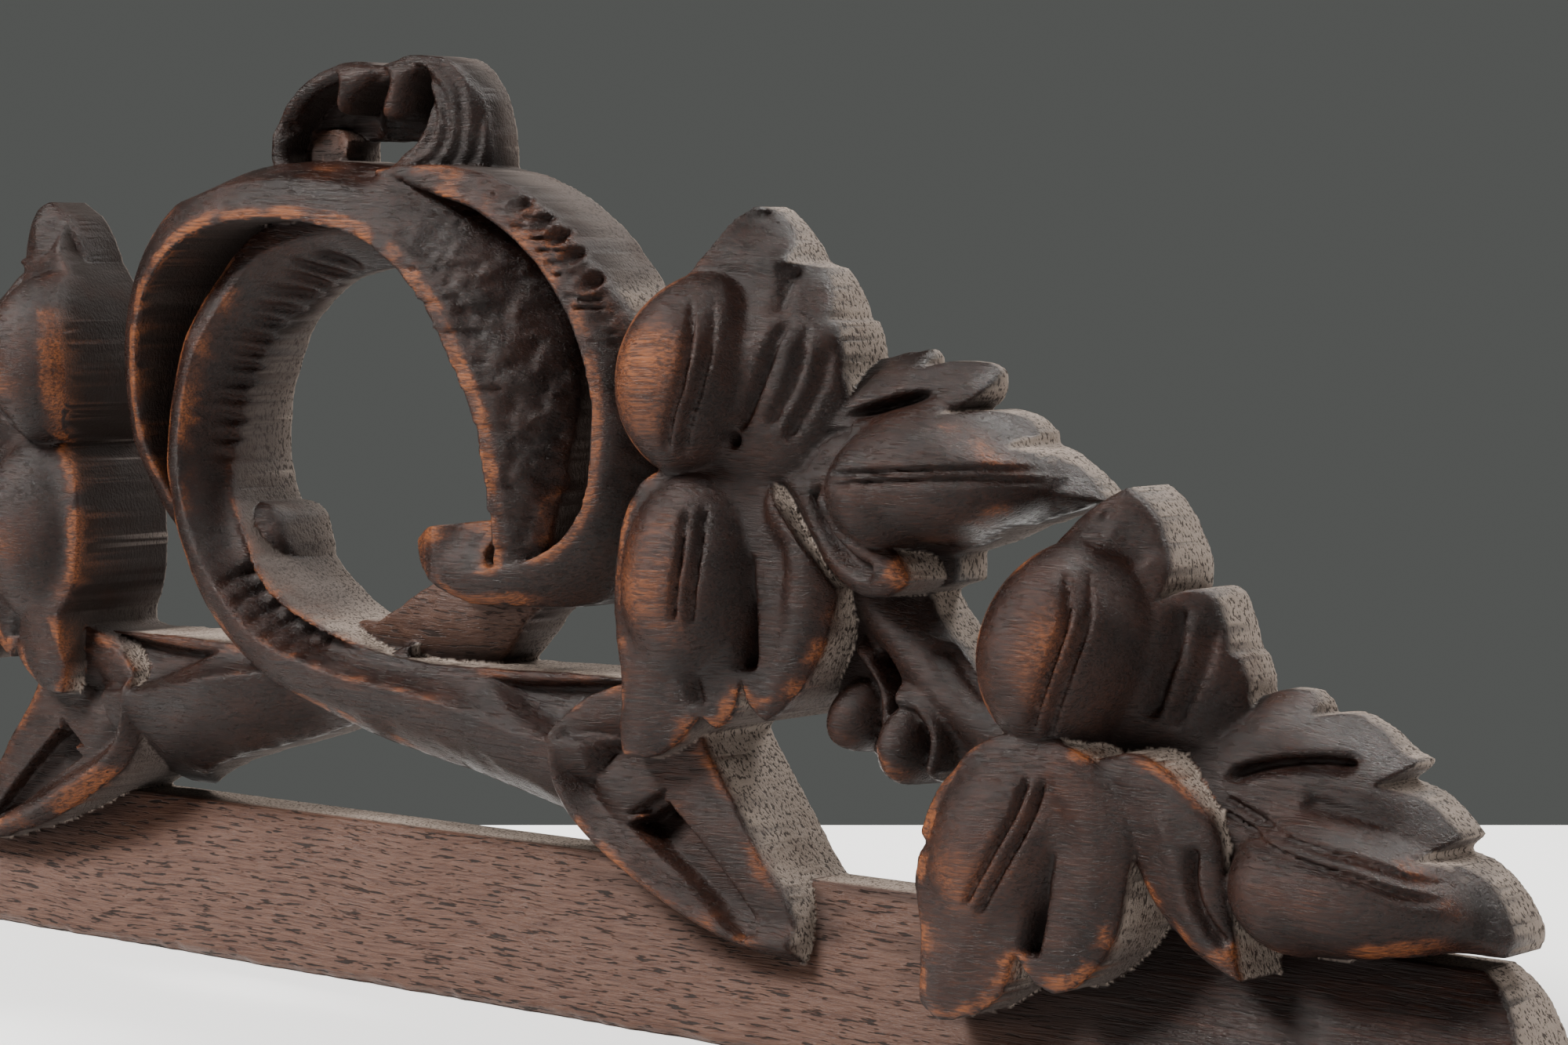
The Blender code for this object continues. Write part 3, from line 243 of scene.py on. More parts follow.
def gouge(path: Grid, x: Grid, z: Grid, width: float, depth: float, fade: float = 0.12) -> Grid:
    """Run a narrow gouge along a path.

    Args:
        path: the gouge's middle line.
        x: places along the board.
        z: heights.
        width: half width of the cut.
        depth: depth of the cut.
        fade: share of the path at each end over which the cut runs out.

    Returns:
        The depth of wood taken away.
    """
    place, off = along(path, x, z)
    ends = ramp(place, 0.0, fade) * ramp(1.0 - place, 0.0, fade)
    return depth * ends * np.exp(-(off / width) ** 2)


def hull(line: Grid) -> Grid:
    """Stretch a closed outline to its convex hull.

    Args:
        line: the outline.

    Returns:
        The hull's points, one per row.
    """
    points = sorted(map(tuple, line))
    chains = []
    for run in (points, points[::-1]):
        chain: list[tuple[float, float]] = []
        for p in run:
            while len(chain) > 1 and ((chain[-1][0] - chain[-2][0]) * (p[1] - chain[-2][1])
                                      <= (chain[-1][1] - chain[-2][1]) * (p[0] - chain[-2][0])):
                chain.pop()
            chain.append(p)
        chains += chain[:-1]
    return np.array(chains)


def beside(path: Grid, offset: float) -> Grid:
    """Return the path moved sideways by the offset.

    Args:
        path: points along the path, one per row.
        offset: how far to the left of its run, in millimetres.

    Returns:
        The moved points, one per row.
    """
    d = np.gradient(path, axis=0)
    d /= np.maximum(np.hypot(d[:, 0], d[:, 1]), 1.0e-9)[:, None]
    return path + offset * np.column_stack([-d[:, 1], d[:, 0]])


@dataclass(frozen=True)
class Wobble:
    """Smooth unevenness of hand work, the same at each run."""
    seed: int
    pitch: float

    def at(self, x: Grid, z: Grid) -> Grid:
        """Read the unevenness at each place, from -1 to 1.

        Args:
            x: places along the first direction, in millimetres.
            z: places along the second one.

        Returns:
            One value for each place.
        """
        table = np.random.default_rng(self.seed).uniform(-1.0, 1.0, (97, 97))
        u, v = np.asarray(x, float) / self.pitch + 400.0, np.asarray(z, float) / self.pitch + 400.0
        i, k = np.floor(u).astype(int), np.floor(v).astype(int)
        a, b = u - i, v - k
        a, b = a * a * (3.0 - 2.0 * a), b * b * (3.0 - 2.0 * b)
        near, far = i % 97, (i + 1) % 97
        low, high = k % 97, (k + 1) % 97
        return ((table[near, low] * (1 - a) + table[far, low] * a) * (1 - b)
                + (table[near, high] * (1 - a) + table[far, high] * a) * b)


@dataclass(frozen=True)
class Layer:
    """A sawn outline, its carved face and the side of the board it lies on."""
    line: Grid
    front: Front
    side: float = 1.0
    wax: Wax = Wax.FULL


@dataclass
class Rail:
    """The plain moulded rail that everything stands on."""
    height: float = 26.2
    foot_depth: float = 22.5
    top_depth: float = 10.0

    def line(self) -> Grid:
        """Return the rail's end profile, mirrored into one closed outline.

        Returns:
            The outline's points, one per row.
        """
        end = [(221.5, self.height), (226.0, 23.0), (229.0, 18.5), (231.5, 13.0),
               (233.8, 7.5), (235.5, 3.2)]
        half = [tuple(p) for p in spline(end)]
        half += [(HALF_LENGTH - 1.0, 3.0), (HALF_LENGTH, 2.0), (HALF_LENGTH, -4.0)]
        return np.array(half + [(-x, z) for x, z in reversed(half)])

    def front(self, x: Grid, z: Grid, edge: Grid) -> Grid:
        """Swell evenly from the thin top to the foot, with a worn lower arris.

        Args:
            x: places along the board.
            z: heights.
            edge: distances in from the sawn edge; not used.

        Returns:
            The depth of the carved face.
        """
        share = np.clip(z / self.height, 0.0, 1.0)
        swell = (self.foot_depth - self.top_depth) * share ** 1.25
        chips = 0.35 * Wobble(3, 2.6).at(x, z) + 0.45 * Wobble(4, 9.0).at(x, 0.0 * z)
        worn = np.clip(1.5 + chips - z, 0.0, 2.4) * 0.8
        wave = 0.10 * Wobble(5, 14.0).at(x * 0.4, z)
        return self.foot_depth - swell - worn + wave

    def layers(self) -> list[Layer]:
        """Return the rail's one layer."""
        return [Layer(self.line(), self.front, 1.0, Wax.SCANT)]


@dataclass
class Stem:
    """The right-hand stem, which crosses in front and curls into the scroll."""
    ridge: Grid = field(default_factory=lambda: spline([
        (-4.0, 131.5), (-14.0, 129.5), (-21.9, 125.6), (-28.7, 117.2), (-33.4, 108.8),
        (-36.0, 100.0), (-36.8, 90.0), (-35.1, 82.0), (-31.5, 74.5),
        (-26.0, 67.5), (-18.5, 61.3), (-8.5, 57.0), (6.1, 54.0),
        (19.6, 52.6), (31.0, 50.9), (42.0, 48.4), (50.0, 46.6), (60.0, 46.0)]))
    line: Grid = field(default_factory=lambda: outline(
        [(8.0, 138.0), (-8.0, 136.5), (-22.0, 132.0), (-33.0, 123.0), (-40.0, 110.0), (-42.8, 96.0),
         (-42.4, 86.0), (-40.0, 77.0), (-35.5, 68.0), (-28.5, 59.8), (-19.0, 53.4),
         (-9.0, 49.2), (1.8, 45.2), (13.0, 41.2), (25.0, 38.0), (35.0, 35.6),
         (44.0, 32.8), (51.0, 29.6), (58.0, 25.0)],
        [(58.0, 25.0), (66.0, 30.0), (70.0, 46.0), (68.0, 56.8)],
        [(68.0, 56.8), (50.0, 57.0), (32.0, 56.6), (16.0, 56.8), (4.0, 58.8), (-7.0, 62.8),
         (-13.1, 66.0), (-19.2, 70.7), (-25.0, 76.5), (-30.0, 82.5), (-32.2, 88.0),
         (-32.8, 94.0), (-31.8, 101.5), (-29.6, 107.5), (-26.0, 114.0), (-20.5, 119.0),
         (-14.0, 122.6), (-4.0, 124.6), (8.0, 124.6)],
        [(8.0, 124.6), (10.0, 131.0), (8.0, 138.0)]))
    lip: Grid = field(default_factory=lambda: spline([
        (8.0, 124.6), (-4.0, 124.6), (-14.0, 122.6), (-20.5, 119.0), (-26.0, 114.0),
        (-29.6, 107.5), (-31.8, 101.5), (-32.8, 94.0), (-32.2, 88.0),
        (-30.0, 82.5), (-25.0, 76.5), (-19.2, 70.7), (-13.1, 66.0),
        (-7.0, 62.8), (4.0, 58.8), (16.0, 56.8), (32.0, 56.6), (50.0, 57.0),
        (66.0, 56.8)]))
    scoop: Grid = field(default_factory=lambda: outline(
        [(33.0, 55.4), (44.0, 55.4), (56.0, 56.2), (72.0, 57.6)],
        [(72.0, 57.6), (72.0, 47.6)],
        [(72.0, 47.6), (60.0, 46.9), (51.8, 47.2), (43.0, 50.4), (33.0, 55.4)]))
    gouge_pitch: float = 3.2
    gouge_lean: float = 20.0
    tooth_pitch: float = 0.029

    def notches(self, x: Grid, z: Grid, place: Grid, share: Grid) -> Grid:
        """Cut the gouge strokes that cross the hollow of the scroll.

        Args:
            x: places along the board.
            z: heights.
            place: place along the ridge, from 0 to 1.
            share: place from the ridge to the inner lip, from 0 to 1.

        Returns:
            The depth of wood taken away.
        """
        lean = math.radians(self.gouge_lean)
        down = x * math.sin(lean) + z * math.cos(lean)
        drift = 1.3 * Wobble(12, 5.0).at(x, z)
        beat = 0.5 + 0.5 * np.cos(2.0 * math.pi * down / self.gouge_pitch + drift)
        start = 0.26 + 0.16 * Wobble(13, 3.4).at(x, z)
        upper = ramp(place, 0.02, 0.05) * ramp(0.36 - place, 0.0, 0.05) * ramp(share - start, 0.0, 0.22)
        teeth = np.abs((place / self.tooth_pitch + 0.25 * share) % 1.0 - 0.5) * 2.0
        lower = ramp(place, 0.46, 0.48) * ramp(0.66 - place, 0.0, 0.05)
        channel = 1.5 * ramp(share, 0.22, 0.42) * ramp(0.90 - share, 0.0, 0.12)
        cuts = 2.2 * np.clip(1.0 - 1.7 * teeth, 0.0, 1.0)
        cuts = cuts * ramp(share, 0.04, 0.16) * ramp(0.80 - share, 0.0, 0.2)
        return 2.0 * upper * beat ** 1.6 + lower * (channel + cuts)

    def front(self, x: Grid, z: Grid, edge: Grid) -> Grid:
        """Shape the outer ridge, the hollow face and the inner lip.

        Args:
            x: places along the board.
            z: heights.
            edge: distances in from the sawn edge; not used.

        Returns:
            The depth of the carved face.
        """
        place, off = along(self.ridge, x, z)
        into, gap = along(self.lip, x, z)
        gap = np.abs(gap)
        crest = np.interp(place, [0.0, 0.10, 0.22, 0.42, 0.60, 0.85, 1.0],
                          [12.0, 19.0, 23.5, 25.0, 26.0, 25.0, 23.0])
        rim = np.interp(into, [0.0, 0.10, 0.17, 0.24, 0.33, 0.42, 0.52, 0.60, 0.70, 0.84, 1.0],
                        [5.0, 5.5, 6.5, 11.0, 14.0, 18.0, 21.5, 20.0, 18.0, 17.0, 16.0])
        inward = np.maximum(off, 0.0)
        share = np.clip(inward / np.maximum(inward + gap, 0.5), 0.0, 1.0)
        hollow = np.interp(place, [0.0, 0.15, 0.4, 0.6, 0.75, 1.0], [0.5, 1.5, 3.0, 3.2, 2.2, 1.2])
        face = crest + (rim - crest) * share - hollow * np.sin(math.pi * share)
        bead = ramp(into, 0.45, 0.48) * ramp(0.64 - into, 0.0, 0.03)
        face = face + bead * np.exp(-((share - 0.96) / 0.05) ** 2) - self.notches(x, z, place, share)
        bevel = np.maximum(-off, 0.0)
        facet = 0.28 * Wobble(11, 4.2).at(160.0 * place, off)
        outer = crest - 0.060 * bevel ** 2 - 0.10 * bevel + facet * ramp(bevel, 0.4, 2.0)
        whole = np.where(off > 0.0, face, outer)
        whole = whole - 3.2 * ramp(edge_distance(self.scoop, x, z), -0.3, 1.8)
        return whole - 8.0 * ramp(x, 60.0, 68.0) * ramp(48.5 - z, 0.0, 5.0)

    def layers(self) -> list[Layer]:
        """Return the stem's one layer."""
        return [Layer(self.line, self.front)]


@dataclass
class BackStem:
    """The left-hand stem, which passes behind the other one."""
    stem: Stem
    sunk: float = 9.0

    def line(self) -> Grid:
        """Return the outline, drawn mirrored and then turned over.

        Returns:
            The outline's points, one per row.
        """
        drawn = outline(
            [(-14.0, 50.0), (-2.0, 46.0), (8.0, 43.0), (18.0, 40.0), (30.0, 36.8), (42.0, 33.4),
             (51.0, 29.6), (58.0, 25.0)],
            [(58.0, 25.0), (66.0, 30.0), (70.0, 46.0), (68.0, 56.8)],
            [(68.0, 56.8), (48.0, 57.0), (28.0, 56.8), (10.0, 58.0), (-4.0, 62.0), (-14.0, 62.0)],
            [(-14.0, 62.0), (-14.0, 50.0)])
        return drawn * np.array([-1.0, 1.0])

    def front(self, x: Grid, z: Grid, edge: Grid) -> Grid:
        """Repeat the front stem mirrored, sunk where the two cross."""
        return self.stem.front(-x, z, edge) - self.sunk * (1.0 - ramp(-x, 6.0, 34.0))

    def layers(self) -> list[Layer]:
        """Return the stem's one layer."""
        return [Layer(self.line(), self.front)]


@dataclass
class Strap:
    """The strap that lies over the top of the ring and down its right side."""
    ridge: Grid = field(default_factory=lambda: spline([
        (-42.0, 78.0), (-46.0, 86.0), (-48.2, 96.0), (-48.6, 106.0), (-47.0, 115.0),
        (-42.5, 123.0), (-35.0, 128.6), (-27.0, 131.6), (-16.0, 133.0),
        (-4.0, 132.8), (6.0, 131.4), (14.0, 128.8), (21.0, 124.4),
        (27.5, 118.0), (33.0, 109.6), (37.4, 101.5), (39.6, 94.0),
        (40.6, 88.0), (41.0, 80.0), (41.0, 74.0)]))
    line: Grid = field(default_factory=lambda: outline(
        [(-40.0, 73.0), (-46.5, 75.5), (-53.0, 82.5), (-58.0, 92.0), (-59.6, 102.0), (-58.6, 113.0),
         (-54.5, 123.0), (-48.0, 131.5), (-39.5, 138.0), (-29.0, 142.0), (-16.0, 143.4),
         (0.0, 143.0), (14.0, 140.6), (27.0, 135.6), (37.0, 129.0), (44.5, 120.0),
         (49.0, 110.0), (51.0, 100.0), (50.6, 88.0), (48.0, 74.0)],
        [(48.0, 74.0), (41.0, 74.0)],
        [(41.0, 74.0), (41.0, 80.0), (40.6, 88.0), (39.6, 94.0), (37.4, 101.5), (33.0, 109.6),
         (27.5, 118.0), (21.0, 124.4), (14.0, 128.8), (6.0, 131.4), (-4.0, 132.8),
         (-16.0, 133.0), (-27.0, 131.6), (-35.0, 128.6), (-42.5, 123.0), (-47.0, 115.0),
         (-48.6, 106.0), (-48.2, 96.0), (-46.0, 86.0), (-42.0, 78.0)],
        [(-42.0, 78.0), (-40.0, 73.0)]))
    left_floor: Grid = field(default_factory=lambda: outline(
        [(-36.0, 70.0), (-46.0, 77.0), (-53.0, 88.0), (-56.0, 102.0), (-54.0, 116.0),
         (-46.0, 128.0), (-32.0, 136.0), (-18.0, 138.0)],
        [(-18.0, 138.0), (-22.0, 128.0), (-34.0, 116.0), (-38.0, 100.0), (-37.0, 84.0),
         (-34.0, 72.0), (-36.0, 70.0)]))
    right_floor: Grid = field(default_factory=lambda: outline(
        [(0.0, 139.0), (20.0, 139.0), (40.0, 133.0), (54.0, 122.0), (62.0, 108.0),
         (63.0, 94.0), (60.0, 80.0), (52.0, 72.0), (40.0, 70.0)],
        [(40.0, 70.0), (43.0, 82.0), (42.0, 96.0), (34.0, 112.0), (22.0, 126.0), (8.0, 133.0),
         (0.0, 139.0)]))
    floor_depth: float = 6.5
    flake_pitch: float = 5.2
    top_bevel: float = 3.4

    def front(self, x: Grid, z: Grid, edge: Grid) -> Grid:
        """Fall from the worn inner edge to the outer one, with a pitted outer half.

        Args:
            x: places along the board.
            z: heights.
            edge: distances in from the sawn edge.

        Returns:
            The depth of the carved face.
        """
        place, off = along(self.ridge, x, z)
        crest = np.interp(place, [0.0, 0.10, 0.3, 0.5, 0.7, 0.9, 1.0],
                          [17.0, 23.0, 26.0, 27.0, 26.5, 25.5, 23.5])
        out = np.abs(off)
        fall = np.interp(place, [0.0, 0.4, 0.6, 1.0], [0.070, 0.050, 0.060, 0.075])
        face = crest - fall * out ** 2 - 0.12 * out
        rough = ramp(place, 0.60, 0.70) * ramp(out, 3.0, 5.0)
        flaky = ramp(place, 0.60, 0.68) * ramp(7.0 - out, 0.0, 2.0)
        shelf = ((z + 0.8 * Wobble(26, 7.0).at(x, z)) / self.flake_pitch) % 1.0
        nick = np.exp(-(np.minimum(shelf, 1.0 - shelf) / 0.05) ** 2)
        scallop = np.maximum(Wobble(21, 2.6).at(x, z), 0.0)
        scallop = scallop + 0.5 * np.maximum(Wobble(22, 1.1).at(x, z), 0.0)
        streaks = Wobble(23, 2.2).at(place * 26.0, off * 2.6)
        ragged = 0.5 * np.maximum(Wobble(25, 1.7).at(x, z), 0.0) * ramp(1.6 - out, 0.0, 1.2)
        face = face - flaky * (0.45 * shelf + 0.3 * nick) - 1.4 * rough * scallop
        top = np.maximum(self.top_bevel - edge, 0.0) * ramp(z, 136.0, 139.0) * ramp(12.0 - x, 0.0, 6.0)
        return face + 0.16 * streaks * (1.0 - rough) - ragged - 1.8 * top

    def floor(self, x: Grid, z: Grid, edge: Grid) -> Grid:
        """Lie flat and deep behind the strap."""
        return self.floor_depth + 0.35 * Wobble(24, 2.4).at(x, z)

    def layers(self) -> list[Layer]:
        """Return the two sunk floors and the strap over them."""
        return [Layer(self.left_floor, self.floor), Layer(self.right_floor, self.floor),
                Layer(self.line, self.front)]


@dataclass
class Hoop:
    """The right-hand hoop with its nib, and the block and knob beside it."""
    ridge: Grid = field(default_factory=lambda: spline([
        (4.0, 140.6), (14.3, 139.9), (25.7, 136.8), (33.1, 134.8), (40.4, 131.2),
        (47.6, 126.0), (53.2, 119.8), (57.6, 112.5), (60.0, 104.5),
        (60.4, 96.0), (59.4, 87.5), (56.0, 81.2), (51.0, 77.2),
        (44.5, 74.6), (37.5, 73.6), (31.0, 74.2)]))
    line: Grid = field(default_factory=lambda: outline(
        [(4.0, 140.8), (11.0, 141.9), (21.0, 142.2), (32.0, 140.6), (41.0, 137.2), (49.0, 132.4),
         (56.0, 126.0), (62.5, 118.0), (68.0, 108.0), (70.6, 97.0), (70.2, 86.0),
         (66.0, 77.0), (59.0, 70.8), (51.8, 67.9), (40.9, 68.0), (32.8, 67.9)],
        [(32.8, 67.9), (28.0, 70.3), (22.6, 73.9), (20.5, 76.7)],
        [(20.5, 76.7), (21.1, 78.8), (25.5, 80.7)],
        [(25.5, 80.7), (34.0, 81.9), (41.0, 82.4)],
        [(41.0, 82.4), (38.4, 77.0), (40.0, 74.6), (44.5, 75.2), (51.0, 77.6),
         (56.0, 81.6), (59.2, 87.5), (60.2, 96.0), (59.8, 104.5), (57.4, 112.5),
         (53.0, 119.8), (47.4, 126.0), (40.2, 131.2), (33.0, 134.8), (25.6, 136.8),
         (14.3, 139.9), (4.0, 141.4)]))
    block: Grid = field(default_factory=lambda: outline(
        [(-6.0, 55.0), (-4.0, 61.8), (2.0, 62.4), (8.0, 65.0), (16.0, 69.6), (25.0, 74.0),
         (34.0, 76.0), (42.0, 72.0)],
        [(42.0, 72.0), (45.7, 69.0)],
        [(45.7, 69.0), (39.0, 66.2), (34.6, 61.8), (29.9, 57.0)],
        [(29.9, 57.0), (28.0, 52.0), (-6.0, 52.0)],
        [(-6.0, 52.0), (-6.0, 55.0)]))
    knob: Grid = field(default_factory=lambda: outline(
        [(-31.0, 82.6), (-26.5, 82.0), (-23.2, 80.2), (-22.0, 77.0)],
        [(-22.0, 77.0), (-21.0, 73.5), (-21.5, 70.2), (-24.0, 68.0)],
        [(-24.0, 68.0), (-34.0, 74.0), (-31.0, 82.6)]))
    pits: Points = ((42.3, 135.2), (47.1, 132.2), (50.4, 129.8), (53.8, 126.6), (57.6, 122.4))
    comb_pitch: float = 1.9

    def front(self, x: Grid, z: Grid, edge: Grid) -> Grid:
        """Shape the inner ridge and the broad face that rolls off outwards.

        Args:
            x: places along the board.
            z: heights.
            edge: distances in from the sawn edge; not used.

        Returns:
            The depth of the carved face.
        """
        place, off = along(self.ridge, x, z)
        crest = np.interp(place, [0.0, 0.12, 0.3, 0.6, 0.8, 0.92, 1.0],
                          [18.0, 20.5, 20.5, 20.0, 21.0, 24.0, 25.0])
        out = np.maximum(off, 0.0)
        fall = np.interp(place, [0.0, 0.12, 0.3, 0.6, 0.8, 1.0], [0.085, 0.095, 0.12, 0.12, 0.10, 0.085])
        face = crest - 0.10 * out - fall * out ** 2
        for number, (cx, cz) in enumerate(self.pits):
            away = np.hypot(x - cx, 0.8 * (z - cz))
            face = face - (2.4 - 0.3 * (number % 2)) * np.exp(-(away / 0.95) ** 2)
            face = face + 0.7 * np.exp(-((away - 1.7) / 0.5) ** 2)
        height = z + 0.4 * Wobble(36, 2.4).at(x, z)
        comb = np.maximum(np.cos(2.0 * math.pi * height / self.comb_pitch), 0.0)
        bitten = ramp(place, 0.22, 0.28) * ramp(0.56 - place, 0.0, 0.05) * ramp(out, 0.8, 1.6)
        bitten = bitten * ramp(6.0 - out, 0.0, 1.5) * ramp(Wobble(35, 3.2).at(x, z), -0.5, 0.1)
        face = face - 1.1 * bitten * comb ** 2
        rough = ramp(place, 0.24, 0.34) * ramp(0.78 - place, 0.0, 0.1) * ramp(out, 2.6, 4.6)
        face = face - 0.9 * rough * np.maximum(Wobble(31, 1.9).at(x, z), 0.0)
        face = face + 0.14 * Wobble(32, 3.0).at(place * 60.0, off)
        whole = np.where(off > 0.0, face, crest + 0.55 * off)
        tip = self.nib_face(x, z)
        return whole + (tip - whole) * ramp(32.5 - x, 0.0, 4.0) * (z < 100.0)

    def nib_face(self, x: Grid, z: Grid) -> Grid:
        """Cut the hoop's end flat: a bevel to the left and a facet below."""
        bevel = 24.5 - 0.5 * np.maximum(27.8 - x, 0.0) - 0.8 * np.maximum(72.0 - z, 0.0)
        return bevel + 0.15 * Wobble(37, 2.2).at(x, z) - 0.10 * np.maximum(x - 27.8, 0.0)

    def block_front(self, x: Grid, z: Grid, edge: Grid) -> Grid:
        """Shape the rounded block under the nib."""
        body = dome(x, z, 16.0, 64.0, 30.0, 12.5, 12.0, 4.0, 10.5)
        return np.maximum(body, 3.0) + 0.3 * Wobble(33, 2.8).at(x, z)

    def knob_front(self, x: Grid, z: Grid, edge: Grid) -> Grid:
        """Shape the small knob inside the ring."""
        return dome(x, z, -27.0, 76.0, 8.0, 7.0, -62.0, 6.5, 9.0) + 0.2 * Wobble(34, 1.8).at(x, z)

    def layers(self) -> list[Layer]:
        """Return the block, the knob and the hoop over them."""
        return [Layer(self.block, self.block_front, 1.0, Wax.THIN), Layer(self.knob, self.knob_front),
                Layer(self.line, self.front)]


@dataclass
class SpearLeaf:
    """The pair of pointed leaves that hang over the rail."""
    bead: Grid = field(default_factory=lambda: spline([
        (53.4, 46.6), (54.8, 40.4), (58.4, 35.2), (64.6, 30.6), (72.4, 26.4),
        (80.6, 22.4), (88.6, 19.4), (96.4, 17.6), (104.6, 17.0)]))
    line: Grid = field(default_factory=lambda: outline(
        [(51.8, 45.4), (52.6, 39.6), (56.2, 33.4), (62.6, 28.8), (70.4, 24.6), (78.8, 20.6),
         (87.2, 17.6), (95.0, 15.6), (103.8, 14.4)],
        [(103.8, 14.4), (103.6, 18.4), (100.8, 24.0), (96.2, 29.6), (91.4, 36.4), (86.2, 43.4),
         (82.0, 50.0)],
        [(82.0, 50.0), (78.0, 58.0), (64.0, 56.0), (55.0, 51.0), (51.8, 45.4)]))
    channel_left: Points = ((69.1, 33.5), (80.3, 26.9), (91.7, 19.4), (95.0, 17.4))
    channel_right: Points = ((76.9, 38.0), (83.7, 32.3), (91.2, 25.5), (97.5, 18.8))
    scoop: Points = ((66.0, 46.6), (60.6, 44.4), (58.4, 41.0), (60.4, 36.6), (66.0, 32.4), (74.0, 28.0))

    def front(self, x: Grid, z: Grid, edge: Grid) -> Grid:
        """Shape the beaded lower edge, two even cheeks and the sunk channel.

        Args:
            x: places along the board.
            z: heights.
            edge: distances in from the sawn edge; not used.

        Returns:
            The depth of the carved face.
        """
        place, off = along(self.bead, x, z)
        reach = np.maximum(off, 0.0)
        crest = np.interp(place, [0.0, 0.2, 0.5, 0.8, 1.0], [23.6, 24.2, 24.0, 23.2, 21.4])
        cheek = crest - 1.2 - 0.55 * np.minimum(reach, 3.0) - 0.15 * np.maximum(reach - 3.0, 0.0)
        cheek = smax(cheek, crest - 0.30 * off ** 2, 0.5)
        start, aside = along(spline(self.scoop), x, z)
        cheek = cheek - 2.6 * ramp(1.0 - start, 0.0, 0.7) * np.exp(-(aside / 2.6) ** 2)
        left = edge_distance(np.vstack([spline(self.channel_left),
                                        spline(self.channel_right)[::-1]]), x, z)
        down, _ = along(spline(self.channel_left), x, z)
        sunk = np.interp(down, [0.0, 0.15, 0.3, 1.0], [7.2, 5.6, 3.8, 2.6])
        eye = edge_distance(np.array([(68.0, 35.2), (76.6, 40.6), (75.6, 34.8)]), x, z)
        cheek = cheek - sunk * ramp(left, -0.25, 0.55) - 2.6 * ramp(eye, -0.2, 1.0)
        below = np.where(off < 0.0, 0.9 * np.abs(off), 0.0)
        return cheek - below + 0.10 * Wobble(41, 3.0).at(x * 0.3, z)

    def layers(self) -> list[Layer]:
        """Return the leaf on both sides of the board."""
        return [Layer(self.line, self.front, side, Wax.WORN) for side in (1.0, -1.0)]


@dataclass
class Lobe:
    """A leaf lobe: its face rises from a thin lip, with swellings, folds,
    a double vein and gouged furrows.

    The lip is a plane: a point, its depth there and its two slopes, held
    under the cap.  The face rises from it over the reach from the edge.
    """
    line: Grid
    lip: tuple[float, ...]
    rise: float
    reach: float
    cap: float = 30.0
    band: Grid | None = None
    facets: list[Callable[[Grid, Grid], Grid]] = field(default_factory=list)
    eggs: list[tuple[float, ...]] = field(default_factory=list)
    folds: list[tuple] = field(default_factory=list)
    furrows: list[tuple] = field(default_factory=list)
    pits: list[tuple[float, ...]] = field(default_factory=list)
    vein: tuple | None = None

    def egg(self, *sizes: float) -> None:
        """Add a swelling with the sizes that dome takes."""
        self.eggs.append(sizes)

    def fold(self, nodes: Points, crest: tuple[float, float], half: float, drop: float) -> None:
        """Add a rounded fold."""
        self.folds.append((spline(nodes), crest, half, drop))

    def facet(self, plane: Callable[[Grid, Grid], Grid]) -> None:
        """Add a flat cut."""
        self.facets.append(plane)

    def serrate(self) -> None:
        """Let the edge rise evenly from the line that joins its teeth."""
        self.band = hull(self.line)

    def furrow(self, nodes: Points, width: float, depth: float, fade: float = 0.12) -> None:
        """Add a gouged furrow that runs out over a share of its length."""
        self.furrows.append((spline(nodes), width, depth, fade))

    def pit(self, cx: float, cz: float, radius: float, depth: float) -> None:
        """Add a small deep hole."""
        self.pits.append((cx, cz, radius, depth))

    def veined(self, nodes: Points, gap: float = 1.3) -> None:
        """Add the double vein, its two cuts twice the gap apart."""
        self.vein = (spline(nodes), gap)

    def front(self, x: Grid, z: Grid, edge: Grid) -> Grid:
        """Shape the lobe's whole face.

        Args:
            x: places along the board.
            z: heights.
            edge: distances in from the sawn edge.

        Returns:
            The depth of the carved face.
        """
        ref_x, ref_z, depth, slope_x, slope_z = self.lip
        lip = np.clip(depth + slope_x * (x - ref_x) + slope_z * (z - ref_z), 2.5, self.cap)
        inward = edge if self.band is None else edge_distance(self.band, x, z)
        face = lip + self.rise * (1.0 - np.exp(-np.maximum(inward, 0.0) / self.reach))
        for plane in self.facets:
            face = smax(face, plane(x, z), 0.8)
        for path, crest, half, drop in self.folds:
            face = smax(face, ridge(path, x, z, crest, half, drop), 1.6)
        for path, width, cut, fade in self.furrows:
            face = face - gouge(path, x, z, width, cut, fade)
        face = face + 0.12 * Wobble(51, 3.6).at(x, z) + 0.08 * Wobble(52, 1.2).at(x, z)
        for sizes in self.eggs:
            face = smax(face, dome(x, z, *sizes) + 0.10 * Wobble(53, 3.0).at(x, z), 1.0)
        for cx, cz, radius, cut in self.pits:
            face = face - cut * np.exp(-((x - cx) ** 2 + (z - cz) ** 2) / radius ** 2)
        if self.vein:
            middle, gap = self.vein
            for offset in (-gap, gap):
                face = face - gouge(beside(middle, offset), x, z, VEIN_WIDTH, VEIN_DEPTH)
        return face


